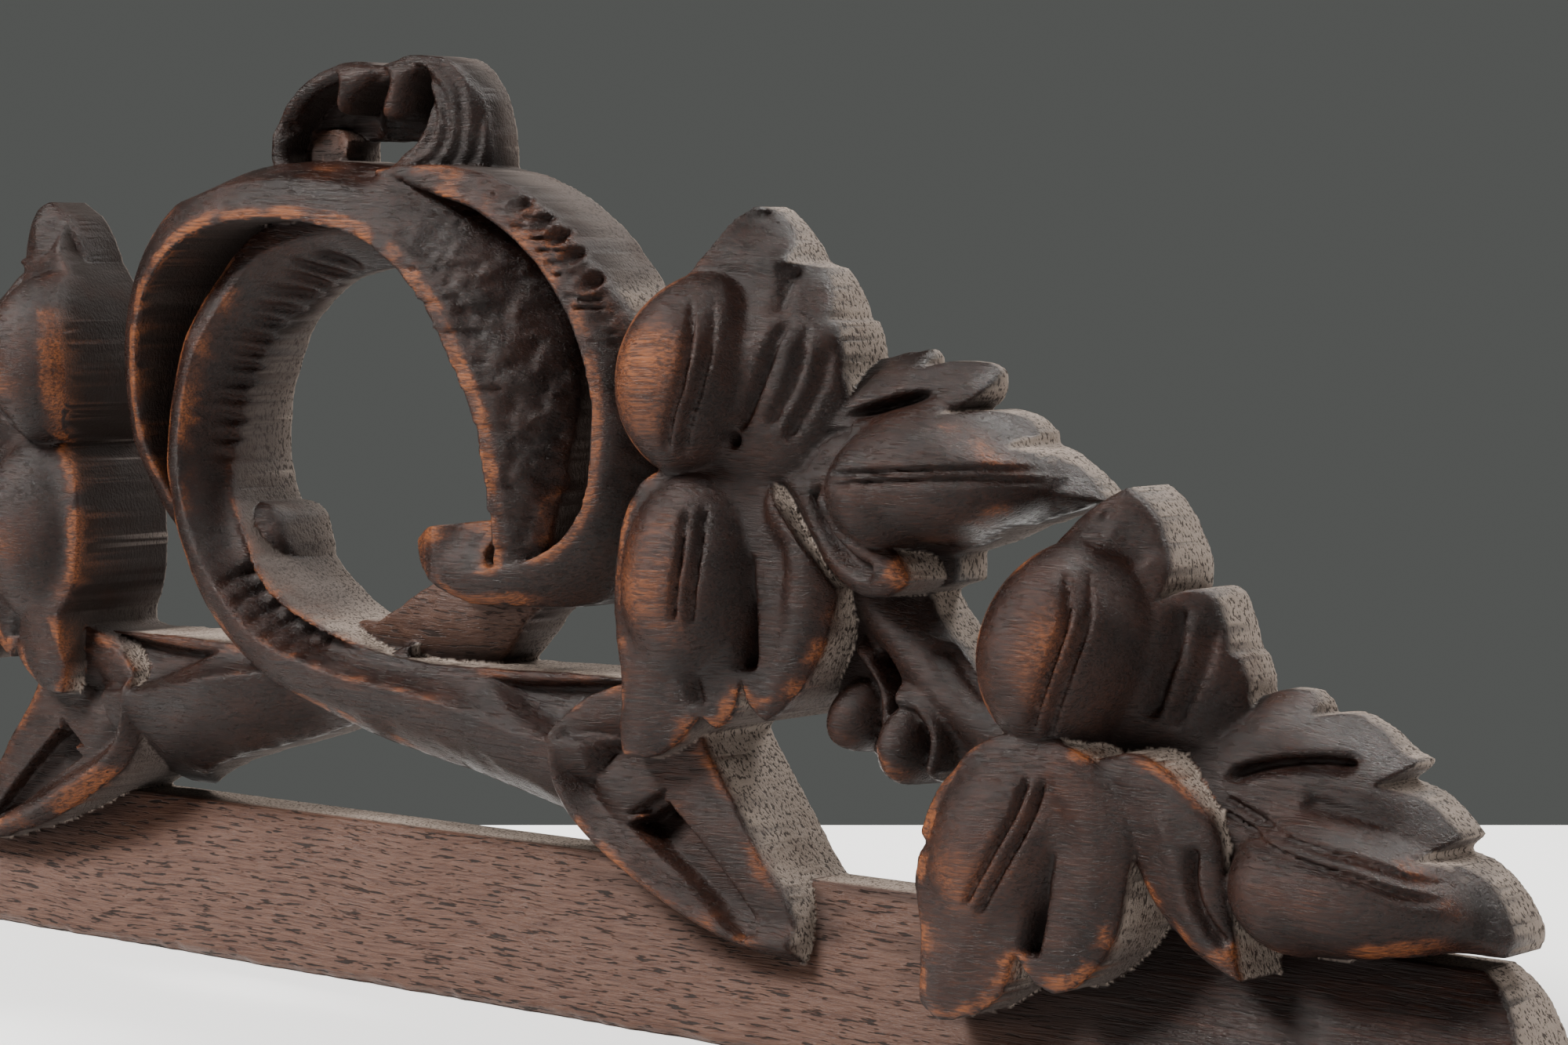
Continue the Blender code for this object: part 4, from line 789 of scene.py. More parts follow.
class LeafCluster:
    """The two leaf clusters with the budded branch between them, on each side."""

    def neck(self) -> Lobe:
        """Return the low neck that joins the inner cluster's lobes.

        Returns:
            The plain lobe, without marks.
        """
        return Lobe(
            outline([(80.0, 98.0), (84.0, 53.6)],
                    [(84.0, 53.6), (92.0, 53.4), (99.0, 58.0), (105.0, 66.0), (112.0, 78.0),
                     (122.0, 82.0)],
                    [(122.0, 82.0), (110.0, 104.0)],
                    [(110.0, 104.0), (80.0, 98.0)]),
            (98.0, 80.0, 9.0, 0.0, 0.0), 3.0, 6.0)

    def branch(self) -> Lobe:
        """Return the short branch with its two buds, between the clusters.

        Returns:
            The lobe with its stem ridges, buds and furrows.
        """
        lobe = Lobe(
            outline([(106.0, 76.0), (112.0, 84.0), (127.2, 82.0)],
                    [(127.2, 82.0), (127.4, 75.6)],
                    [(127.4, 75.6), (123.2, 74.6), (121.9, 73.6)],
                    [(121.9, 73.6), (128.0, 66.6), (136.0, 61.0), (150.0, 58.0)],
                    [(150.0, 58.0), (150.0, 48.0), (138.0, 46.0), (128.6, 46.6)],
                    [(128.6, 46.6), (126.6, 44.4), (122.4, 44.2), (119.2, 46.0), (117.4, 48.8)],
                    [(117.4, 48.8), (114.4, 47.6), (110.0, 48.6), (106.4, 51.6), (104.2, 55.6),
                     (103.0, 60.0), (106.0, 66.0), (106.0, 76.0)]),
            (118.0, 66.0, 8.6, 0.04, -0.04), 2.6, 2.4)
        lobe.fold([(112.6, 73.0), (119.6, 67.0), (128.0, 59.6), (138.0, 54.0), (150.0, 51.0)],
                  (13.6, 16.4), 5.4, 4.6)
        lobe.fold([(112.0, 64.6), (116.6, 59.6), (117.4, 53.4), (115.6, 49.0)], (13.6, 13.6), 1.7, 2.6)
        lobe.fold([(119.6, 57.6), (125.0, 57.0), (128.4, 52.6), (127.6, 47.0)], (15.8, 15.6), 1.9, 2.8)
        lobe.egg(110.4, 53.6, 6.6, 4.9, 62.0, 10.4, 6.6)
        lobe.egg(121.6, 50.0, 6.8, 4.9, 84.0, 11.6, 7.2)
        lobe.furrow([(114.6, 64.6), (117.4, 60.6), (119.6, 56.4), (119.0, 51.0)], 0.9, 6.0)
        lobe.furrow([(126.0, 66.6), (134.0, 60.0), (144.0, 56.0)], 1.1, 2.2)
        return lobe

    def upper_one(self) -> Lobe:
        """Return the inner cluster's upper lobe, with its flat cut tip.

        Returns:
            The lobe with its bulge, tip facet, veins, furrows and pits.
        """
        lobe = Lobe(
            outline([(77.0, 88.0), (71.6, 96.0), (69.6, 104.0), (70.6, 112.0), (74.0, 119.0),
                     (78.6, 124.6), (81.6, 128.0), (83.6, 132.0), (85.6, 134.8)],
                    [(85.6, 134.8), (88.4, 133.4), (91.0, 131.2), (93.6, 128.4), (95.6, 125.6)],
                    [(95.6, 125.6), (97.6, 124.9), (99.6, 124.2), (101.8, 121.6), (103.7, 118.2),
                     (104.2, 116.4)],
                    [(104.2, 116.4), (105.6, 116.2), (106.6, 114.0), (107.1, 111.4)],
                    [(107.1, 111.4), (108.0, 100.0), (102.0, 88.0), (90.0, 82.0), (77.0, 88.0)]),
            (100.0, 120.0, 9.4, 0.05, -0.45), 8.6, 7.0, 12.5)
        lobe.serrate()
        lobe.facet(self.tip_facet)
        lobe.egg(80.4, 107.0, 17.4, 13.8, 80.0, 12.0, BULGE_DEPTH - 11.6)
        lobe.veined([(85.7, 121.1), (88.6, 113.8), (87.8, 105.1), (82.5, 94.2)], 1.1)
        lobe.furrow([(98.8, 117.0), (97.4, 110.4), (94.6, 103.4), (91.8, 98.4)], 1.0, 1.8)
        lobe.pit(91.2, 97.5, 1.0, 4.0)
        lobe.pit(87.1, 133.4, 0.7, 1.6)
        lobe.furrow([(102.6, 116.0), (101.6, 108.0), (97.6, 99.0)], 0.9, 1.3)
        lobe.furrow([(105.4, 112.4), (104.4, 105.0), (100.0, 97.0)], 0.9, 1.2)
        lobe.furrow([(95.0, 125.6), (95.9, 121.6), (97.0, 117.0)], 1.1, 1.5)
        return lobe

    @staticmethod
    def tip_facet(x: Grid, z: Grid) -> Grid:
        """Cut the upper lobe's tip flat, falling towards its top.

        Args:
            x: places along the board.
            z: heights.

        Returns:
            The facet's depth at each place.
        """
        above = np.maximum(z - 126.0, 0.0)
        side = 0.18 * (x - 88.0) + above * (0.2 + 0.14 * np.maximum(x - 82.0, 0.0))
        return 13.8 - side - 3.0 * np.maximum(x - 95.6, 0.0)

    def right_one(self) -> Lobe:
        """Return the inner cluster's long right lobe.

        Returns:
            The lobe with its bulges, veins and furrows.
        """
        lobe = Lobe(
            outline([(96.0, 98.0), (102.0, 107.0), (109.0, 110.4), (117.4, 111.9)],
                    [(117.4, 111.9), (118.5, 110.8), (118.8, 109.2)],
                    [(118.8, 109.2), (124.6, 110.2), (130.2, 109.2), (131.3, 107.0), (130.4, 104.2),
                     (128.2, 102.4)],
                    [(128.2, 102.4), (133.2, 102.7), (138.2, 101.7), (141.2, 99.4)],
                    [(141.2, 99.4), (141.4, 97.6)],
                    [(141.4, 97.6), (145.2, 96.3), (149.6, 93.5), (154.4, 89.4)],
                    [(154.4, 89.4), (147.0, 87.0), (139.4, 84.6), (133.0, 82.0), (124.0, 79.6),
                     (114.0, 79.0), (104.0, 82.0), (94.0, 88.0), (96.0, 98.0)]),
            (125.0, 106.0, 3.4, -0.02, -0.25), 12.0, 6.0, 12.0)
        lobe.serrate()
        lobe.egg(129.0, 92.2, 19.5, 10.6, -2.0, 9.0, 17.0, 0.28)
        lobe.egg(119.6, 90.2, 10.6, 10.2, 0.0, 12.0, 14.6)
        lobe.veined([(114.6, 92.0), (124.1, 92.8), (136.2, 93.5), (145.3, 93.5), (150.2, 92.6)], 0.75)
        lobe.furrow([(106.6, 99.9), (109.6, 101.2), (114.6, 102.6), (120.4, 104.2), (126.4, 105.4)],
                    0.95, 5.6, 0.42)
        lobe.furrow([(103.0, 97.4), (107.6, 98.8), (112.0, 99.4)], 0.8, 1.6)
        return lobe

    def lower_one(self) -> Lobe:
        """Return the inner cluster's lower lobe, with its three points.

        Returns:
            The lobe with its bulge, veins, folds and furrows.
        """
        lobe = Lobe(
            outline([(78.0, 93.0), (73.4, 91.0), (70.0, 87.0), (68.4, 82.0), (67.6, 76.0), (67.6, 70.0),
                     (68.6, 64.6), (70.6, 60.4)],
                    [(70.6, 60.4), (70.8, 55.0), (69.8, 50.0), (70.6, 45.2)],
                    [(70.6, 45.2), (76.4, 45.6), (82.0, 48.6), (86.2, 53.0)],
                    [(86.2, 53.0), (88.6, 50.8)],
                    [(88.6, 50.8), (92.4, 53.6), (94.0, 59.0)],
                    [(94.0, 59.0), (95.2, 55.4), (98.4, 52.6)],
                    [(98.4, 52.6), (102.6, 55.8), (106.4, 60.8), (109.2, 67.0), (110.6, 74.4)],
                    [(110.6, 74.4), (106.0, 82.0), (98.0, 90.0), (88.0, 95.0), (78.0, 93.0)]),
            (84.0, 56.0, 20.8, -0.14, -0.06), 2.4, 3.0)
        lobe.serrate()
        lobe.egg(82.0, 74.6, 18.4, 13.6, 84.0, 15.0, BULGE_DEPTH - 15.0)
        lobe.veined([(87.2, 87.5), (88.4, 80.2), (87.7, 72.7), (86.8, 67.7)], 1.25)
        lobe.fold([(101.6, 87.0), (105.4, 80.8), (105.0, 71.0), (102.4, 62.0), (98.8, 55.6)],
                  (21.6, 21.0), 4.6, 3.2)
        lobe.fold([(76.0, 60.0), (76.4, 53.0), (74.6, 47.6)], (24.6, 22.6), 7.0, 2.4)
        lobe.furrow([(93.4, 80.0), (93.6, 74.6), (94.4, 68.4), (94.8, 60.0)], 1.5, 6.0)
        lobe.furrow([(84.6, 60.0), (86.0, 54.4)], 1.4, 1.8)
        return lobe

    def hook_one(self) -> Lobe:
        """Return the inner cluster's hooked lobe.

        Returns:
            The lobe with its furrow and fold.
        """
        lobe = Lobe(
            outline([(96.0, 92.0), (100.6, 88.0), (104.8, 82.6), (109.2, 77.4), (115.0, 74.0),
                     (121.6, 73.8), (126.4, 76.4)],
                    [(126.4, 76.4), (124.0, 80.4), (118.0, 84.0), (114.0, 88.0), (112.0, 94.0),
                     (96.0, 92.0)]),
            (112.0, 78.0, 17.6, 0.10, -0.06), 2.6, 1.6)
        lobe.furrow([(106.4, 91.0), (109.4, 85.0), (114.6, 79.6), (121.0, 77.4)], 1.3, 3.0)
        lobe.fold([(110.4, 88.0), (113.0, 83.6), (117.8, 80.4), (123.0, 78.8)], (21.6, 19.6), 2.4, 2.8)
        return lobe

    def neck_two(self) -> Lobe:
        """Return the low neck that joins the outer cluster's lobes.

        Returns:
            The plain lobe, without marks.
        """
        return Lobe(
            outline([(148.0, 62.0), (150.0, 34.0)],
                    [(150.0, 34.0), (168.0, 26.0), (196.0, 26.0)],
                    [(196.0, 26.0), (184.0, 58.0)],
                    [(184.0, 58.0), (148.0, 62.0)]),
            (160.0, 48.0, 10.0, 0.0, 0.0), 3.0, 6.0)

    def upper_two(self) -> Lobe:
        """Return the outer cluster's upper lobe.

        Returns:
            The lobe with its bulge, veins and furrows.
        """
        lobe = Lobe(
            outline([(150.0, 52.0), (144.6, 59.0), (142.4, 66.0), (143.2, 73.0), (146.6, 79.6),
                     (152.0, 85.6), (157.0, 89.6), (161.8, 92.1)],
                    [(161.8, 92.1), (164.8, 89.8), (167.2, 86.6), (169.2, 82.4), (170.0, 78.6),
                     (169.2, 75.6)],
                    [(169.2, 75.6), (172.6, 77.4), (175.4, 76.6), (177.6, 72.6), (178.7, 68.4)],
                    [(178.7, 68.4), (180.0, 67.4)],
                    [(180.0, 67.4), (181.0, 64.4), (181.4, 61.2)],
                    [(181.4, 61.2), (182.0, 52.0), (172.0, 46.0), (158.0, 46.0), (150.0, 52.0)]),
            (172.0, 76.0, 10.2, -0.12, 0.02), 9.0, 7.5, 14.5)
        lobe.serrate()
        lobe.egg(154.8, 67.4, 17.4, 14.6, 72.0, 12.0, BULGE_DEPTH - 10.6)
        lobe.veined([(160.2, 81.1), (163.2, 73.5), (160.9, 64.2), (155.6, 54.8)], 1.1)
        lobe.furrow([(158.0, 88.0), (163.0, 84.6), (166.0, 80.0)], 2.6, 1.6)
        lobe.furrow([(172.2, 75.4), (172.0, 68.0), (169.4, 58.0)], 1.2, 2.2)
        lobe.furrow([(176.2, 73.4), (176.0, 66.0), (173.0, 57.0)], 1.0, 1.5)
        return lobe

    def right_two(self) -> Lobe:
        """Return the outer cluster's long right lobe.

        Returns:
            The lobe with its bulges, veins and furrows.
        """
        lobe = Lobe(
            outline([(172.0, 58.0), (179.0, 60.6), (185.0, 62.8), (189.4, 62.7)],
                    [(189.4, 62.7), (191.4, 61.2), (191.8, 59.6)],
                    [(191.8, 59.6), (196.6, 59.9), (201.4, 58.3), (205.4, 55.4), (208.4, 54.2)],
                    [(208.4, 54.2), (207.6, 52.8), (205.0, 51.0)],
                    [(205.0, 51.0), (210.4, 49.4), (214.4, 46.4), (216.9, 43.8)],
                    [(216.9, 43.8), (215.2, 42.6), (214.2, 41.6)],
                    [(214.2, 41.6), (218.2, 40.4), (222.0, 38.0), (224.8, 34.6), (226.4, 31.0),
                     (225.6, 28.2)],
                    [(225.6, 28.2), (220.0, 28.6), (212.0, 27.8), (204.0, 26.0), (196.0, 25.4),
                     (188.0, 27.0), (176.0, 30.0), (164.0, 40.0), (160.0, 50.0), (172.0, 58.0)]),
            (200.0, 56.0, 5.4, -0.04, -0.22), 12.0, 6.0, 13.0)
        lobe.serrate()
        lobe.egg(203.4, 36.4, 20.6, 10.6, -10.0, 10.0, 17.0, 0.25)
        lobe.egg(195.4, 36.0, 11.0, 10.4, 0.0, 13.0, 14.0)
        lobe.veined([(181.8, 48.1), (193.2, 43.9), (208.3, 40.8), (216.3, 38.4), (221.5, 37.4)], 0.9)
        lobe.furrow([(182.6, 50.6), (188.4, 52.6), (195.6, 53.6), (202.4, 53.2)], 1.0, 3.6)
        lobe.furrow([(196.0, 48.6), (203.0, 46.6), (209.0, 44.0)], 1.4, 1.6)
        return lobe

    def lower_two(self) -> Lobe:
        """Return the outer cluster's lower lobe, which hangs over the rail.

        Returns:
            The lobe with its bulge, veins, folds and furrow.
        """
        lobe = Lobe(
            outline([(158.0, 55.6), (149.6, 55.6), (143.4, 52.8), (138.6, 48.0), (135.6, 43.6),
                     (134.0, 39.2)],
                    [(134.0, 39.2), (135.8, 38.0)],
                    [(135.8, 38.0), (133.8, 35.6), (133.2, 32.0), (133.9, 28.0), (134.9, 23.4),
                     (134.4, 18.0), (134.7, 13.6), (138.0, 10.8)],
                    [(138.0, 10.8), (144.8, 12.7), (150.4, 17.2), (152.6, 22.9)],
                    [(152.6, 22.9), (154.6, 19.8), (158.6, 17.2)],
                    [(158.6, 17.2), (163.4, 19.3), (167.2, 23.8), (169.6, 29.0), (170.4, 33.0)],
                    [(170.4, 33.0), (172.0, 44.0), (166.0, 52.0), (158.0, 55.6)]),
            (150.0, 24.0, 25.6, -0.05, -0.02), 1.8, 3.0)
        lobe.serrate()
        lobe.egg(147.6, 38.6, 19.0, 13.6, 60.0, 18.0, BULGE_DEPTH - 16.4)
        lobe.veined([(156.7, 50.4), (155.0, 43.0), (150.0, 34.3), (145.7, 28.5)], 1.2)
        lobe.fold([(160.6, 50.6), (165.0, 43.0), (164.6, 33.0), (160.0, 21.0)], (27.2, 25.4), 5.0, 3.0)
        lobe.fold([(144.0, 26.0), (141.0, 18.0), (139.4, 13.0)], (28.0, 26.4), 6.0, 2.0)
        lobe.furrow([(158.2, 40.0), (157.0, 34.0), (156.0, 27.6), (154.6, 22.0)], 1.3, 4.4)
        return lobe

    def hook_two(self) -> Lobe:
        """Return the outer cluster's hooked lobe.

        Returns:
            The lobe with its fold and furrow.
        """
        lobe = Lobe(
            outline([(158.0, 50.0), (166.4, 48.6), (169.0, 42.6), (171.2, 38.0), (174.0, 32.6),
                     (178.0, 28.4), (182.8, 24.8), (189.8, 22.2)],
                    [(189.8, 22.2), (188.4, 26.4), (187.4, 31.0), (186.4, 38.0), (184.0, 46.0),
                     (172.0, 54.0), (158.0, 50.0)]),
            (176.0, 34.0, 22.4, 0.0, 0.05), 1.8, 1.8)
        lobe.fold([(178.0, 44.0), (179.8, 36.4), (182.0, 30.8), (185.0, 27.0), (189.0, 23.2)],
                  (25.0, 22.4), 2.6, 2.6)
        lobe.furrow([(182.4, 42.0), (182.2, 36.0), (184.2, 31.0), (187.6, 26.8)], 0.8, 1.8)
        return lobe

    def left_tip(self) -> Lobe:
        """Return the higher tip that only the left-hand cluster has.

        Returns:
            The plain lobe, without marks.
        """
        return Lobe(
            outline([(77.6, 118.0), (79.6, 126.0), (82.4, 131.4), (86.0, 134.8), (90.4, 137.3)],
                    [(90.4, 137.3), (94.0, 135.6), (96.6, 130.4), (98.0, 124.0)],
                    [(98.0, 124.0), (88.0, 116.0), (77.6, 118.0)]),
            (90.0, 130.0, 9.2, 0.0, 0.0), 5.0, 5.0)

    def layers(self) -> list[Layer]:
        """Return every lobe on both sides of the board.

        Returns:
            The lobes' layers, and the left tip's on the left alone.
        """
        lobes = [self.neck(), self.branch(), self.upper_one(), self.right_one(), self.lower_one(),
                 self.hook_one(), self.neck_two(), self.upper_two(), self.right_two(),
                 self.lower_two(), self.hook_two()]
        out = [Layer(lobe.line, lobe.front, side) for lobe in lobes for side in (1.0, -1.0)]
        tip = self.left_tip()
        return out + [Layer(tip.line, tip.front, -1.0)]


@dataclass
class Curls:
    """The two small curls on top, with the web and foot behind them."""
    body: Grid = field(default_factory=lambda: outline(
        [(7.2, 140.0), (9.2, 143.2), (12.0, 147.0)],
        [(12.0, 147.0), (14.0, 150.0), (14.9, 153.4), (14.6, 156.6), (13.6, 158.8)],
        [(13.6, 158.8), (9.0, 158.0), (0.0, 156.6), (-2.0, 157.6), (0.0, 159.0)],
        [(0.0, 159.0), (4.4, 160.2), (9.0, 161.3), (13.5, 161.4), (18.3, 159.8), (22.1, 156.3),
         (24.2, 152.0), (25.3, 146.6), (25.5, 140.0)],
        [(25.5, 140.0), (16.0, 138.6), (7.2, 140.0)]))
    rim: Grid = field(default_factory=lambda: outline(
        [(9.4, 140.0), (20.0, 141.6), (22.6, 144.4), (22.2, 148.0), (20.2, 151.8), (16.4, 154.8),
         (11.6, 156.9), (8.6, 157.6)],
        [(8.6, 157.6), (0.0, 156.8), (-2.0, 157.6), (0.0, 159.4)],
        [(0.0, 159.4), (4.6, 161.0), (9.6, 160.6), (15.6, 158.8), (21.0, 155.2), (24.8, 151.0),
         (26.2, 146.8), (25.8, 140.0)],
        [(25.8, 140.0), (16.0, 138.6), (9.4, 140.0)]))
    nose: Grid = field(default_factory=lambda: outline(
        [(4.5, 151.6), (5.6, 150.2), (7.4, 150.0), (9.2, 151.0)],
        [(9.2, 151.0), (10.2, 154.0), (11.6, 157.2), (13.9, 159.2)],
        [(13.9, 159.2), (9.0, 160.6), (4.0, 160.0)],
        [(4.0, 160.0), (6.4, 157.4), (5.2, 154.0), (4.5, 151.6)]))
    beak: Grid = field(default_factory=lambda: outline(
        [(-7.0, 153.8), (-6.6, 152.2), (-5.6, 151.4), (-5.0, 152.2)],
        [(-5.0, 152.2), (-3.0, 154.2), (0.2, 156.2), (3.4, 157.9)],
        [(3.4, 157.9), (2.0, 159.8), (-3.0, 160.4), (-8.0, 160.0)],
        [(-8.0, 160.0), (-6.4, 157.4), (-7.0, 153.8)]))
    web: Grid = field(default_factory=lambda: outline(
        [(-13.6, 147.0), (13.6, 147.0)],
        [(13.6, 147.0), (15.0, 152.0), (12.0, 158.6)],
        [(12.0, 158.6), (-12.0, 158.6)],
        [(-12.0, 158.6), (-20.0, 154.6), (-24.0, 148.0), (-13.6, 147.0)]))
    foot: Grid = field(default_factory=lambda: outline(
        [(-8.6, 140.0), (-8.8, 147.4)],
        [(-8.8, 147.4), (-15.0, 149.4), (-25.0, 149.0)],
        [(-25.0, 149.0), (-25.4, 140.0), (-8.6, 140.0)]))

    def body_front(self, x: Grid, z: Grid, edge: Grid) -> Grid:
        """Rise to the eye and run down into a pointed foot.

        Args:
            x: places along the board.
            z: heights.
            edge: distances in from the sawn edge.

        Returns:
            The depth of the carved face.
        """
        face = 9.0 + 0.36 * np.maximum(24.0 - x, 0.0)
        foot = 3.4 * ramp(146.5 - z, 0.0, 5.0) * ramp(20.0 - x, 0.0, 12.0)
        lip = 1.6 * (1.0 - np.exp(-np.maximum(edge, 0.0) / 1.4)) - 1.6
        turn = np.hypot(x - 9.0, z - 150.0)
        flow = 0.35 * np.sin(turn * 2.4 + 0.8 * Wobble(61, 4.0).at(x, z)) * ramp(turn, 3.0, 6.0)
        return np.minimum(face, 13.0) + foot + lip + flow

    def rim_front(self, x: Grid, z: Grid, edge: Grid) -> Grid:
        """Stand as a thin rim about a deep scooped eye, chipped at its side.

        Args:
            x: places along the board.
            z: heights.
            edge: distances in from the sawn edge.

        Returns:
            The depth of the carved face.
        """
        lip = 1.6 * (1.0 - np.exp(-np.maximum(edge, 0.0) / 1.2)) - 1.6
        chip = 3.0 * np.exp(-((x - 22.4) ** 2 + (z - 149.6) ** 2) / 2.2)
        return 11.6 + 0.05 * (x - 18.0) + lip - chip + 0.3 * Wobble(62, 1.9).at(x, z)

    def nose_front(self, x: Grid, z: Grid, edge: Grid) -> Grid:
        """Round the tip of the curl."""
        return 11.2 + 3.6 * np.sqrt(1.0 - np.exp(-np.maximum(edge, 0.0) / 1.6))

    def web_front(self, x: Grid, z: Grid, edge: Grid) -> Grid:
        """Lie low behind the noses."""
        return 3.4 + 2.6 * np.exp(-(x / 4.0) ** 2) + 0.3 * Wobble(63, 1.6).at(x, z)

    def foot_front(self, x: Grid, z: Grid, edge: Grid) -> Grid:
        """Slope down behind the left curl."""
        slope = 0.22 * np.maximum(-9.0 - x, 0.0) + 0.3 * np.maximum(z - 145.0, 0.0)
        return 8.6 - slope + 0.4 * Wobble(64, 2.2).at(x, z)

    def layers(self) -> list[Layer]:
        """Return both curls, their noses, web and foot.

        Returns:
            The curls' layers, in the order they are joined.
        """
        return [Layer(self.web, self.web_front), Layer(self.body, self.body_front),
                Layer(self.foot, self.foot_front, 1.0, Wax.THIN), Layer(self.rim, self.rim_front, -1.0),
                Layer(self.nose, self.nose_front), Layer(self.beak, self.nose_front)]


@dataclass(frozen=True)
class Wear:
    """Where the wax is rubbed through: proud arrises, crowns and one cheek."""
    arris_relief: tuple[float, float] = (1.1, 2.5)
    arris_depth: tuple[float, float] = (11.0, 22.0)
    crown_depth: tuple[float, float] = (23.5, 31.5)
    left_side: tuple[float, float] = (38.0, 50.0)
    outer_start: tuple[float, float] = (118.0, 134.0)
    outer_end: float = 178.0
    cheek: tuple[float, float] = (79.2, 77.0)
    cheek_radius: float = 9.0

    def rubbed(self, x: Grid, z: Grid, depth: Grid, fine: Grid) -> Grid:
        """Tell how far the wax is rubbed through.

        Args:
            x: each point's place along the board.
            z: its height.
            depth: its depth in front of the back.
            fine: how far it stands above what is close by.

        Returns:
            0 for whole wax to 1 for bare wood.
        """
        broken = ramp(Wobble(73, 3.4).at(x, z), -0.9, 0.5)
        arris = ramp(fine, *self.arris_relief) * ramp(depth, *self.arris_depth) * broken
        crown = ramp(depth, *self.crown_depth) ** 1.3 * (0.75 + 0.5 * Wobble(72, 8.0).at(x, z))
        crown = crown * (1.0 - 0.6 * ramp(-x, *self.left_side))
        outer = ramp(x, *self.outer_start) * ramp(self.outer_end - x, 0.0, 12.0)
        crown = crown * (1.0 - 0.5 * outer)
        across, up = (x - self.cheek[0]) / self.cheek_radius, (z - self.cheek[1]) / self.cheek_radius
        return np.clip(0.8 * arris + crown + 0.22 * np.exp(-across ** 2 - up ** 2), 0.0, 1.0)


@dataclass(frozen=True)
class WallDarkening:
    """How dark the raw sawn wood is made: darker in listed places, and painted shade on walls that face
    down.
    """
    ring: float = 0.5
    ring_outside: float = 0.28
    behind_ring: float = 0.8
    in_curls: float = 0.9
    shade_facing_down: float = 0.5
    left_clusters: float = 0.75
    crest: float = 0.25
    everywhere: float = 0.12

    def on_walls(self, facing_up: Grid, x: Grid, z: Grid, depth: Grid) -> Grid:
        """Tell how dark the sawn wood is made; the flat back takes only the even share.

        Args:
            facing_up: the upward part of each point's normal.
            x: each point's place along the board.
            z: its height.
            depth: its depth in front of the back.

        Returns:
            0 for plain wood to 1 for near black.
        """
        # painted shade: sawn walls that face down are darkened
        under = ramp(-facing_up, 0.2, 0.8)
        ring = ramp(62.0 - x, 0.0, 6.0) * ramp(z, 60.0, 66.0)
        outside = ramp(x, 4.0, 12.0) * ramp(np.hypot(x - 4.0, z - 78.0), 56.0, 60.0)
        behind = ramp(-44.0 - x, 0.0, 4.0) * ramp(z, 60.0, 66.0) * ramp(-x, 44.0, 48.0)
        inside = ramp(z, 144.0, 147.0) * ramp(14.5 - x, 0.0, 1.0) * ramp(159.0 - z, 0.0, 2.0)
        far = ramp(-x, 58.0, 64.0) * ramp(z, 46.0, 52.0)
        crest = ramp(z, 139.0, 143.0) * ramp(x, -4.0, 2.0)
        darkness = self.ring * ring + self.ring_outside * outside * ring + self.behind_ring * behind
        darkness = darkness + self.in_curls * inside + self.shade_facing_down * under
        darkness = darkness + self.left_clusters * far + self.crest * crest
        return np.clip(darkness * ramp(depth, 0.1, 1.6) + self.everywhere, 0.0, 1.0)


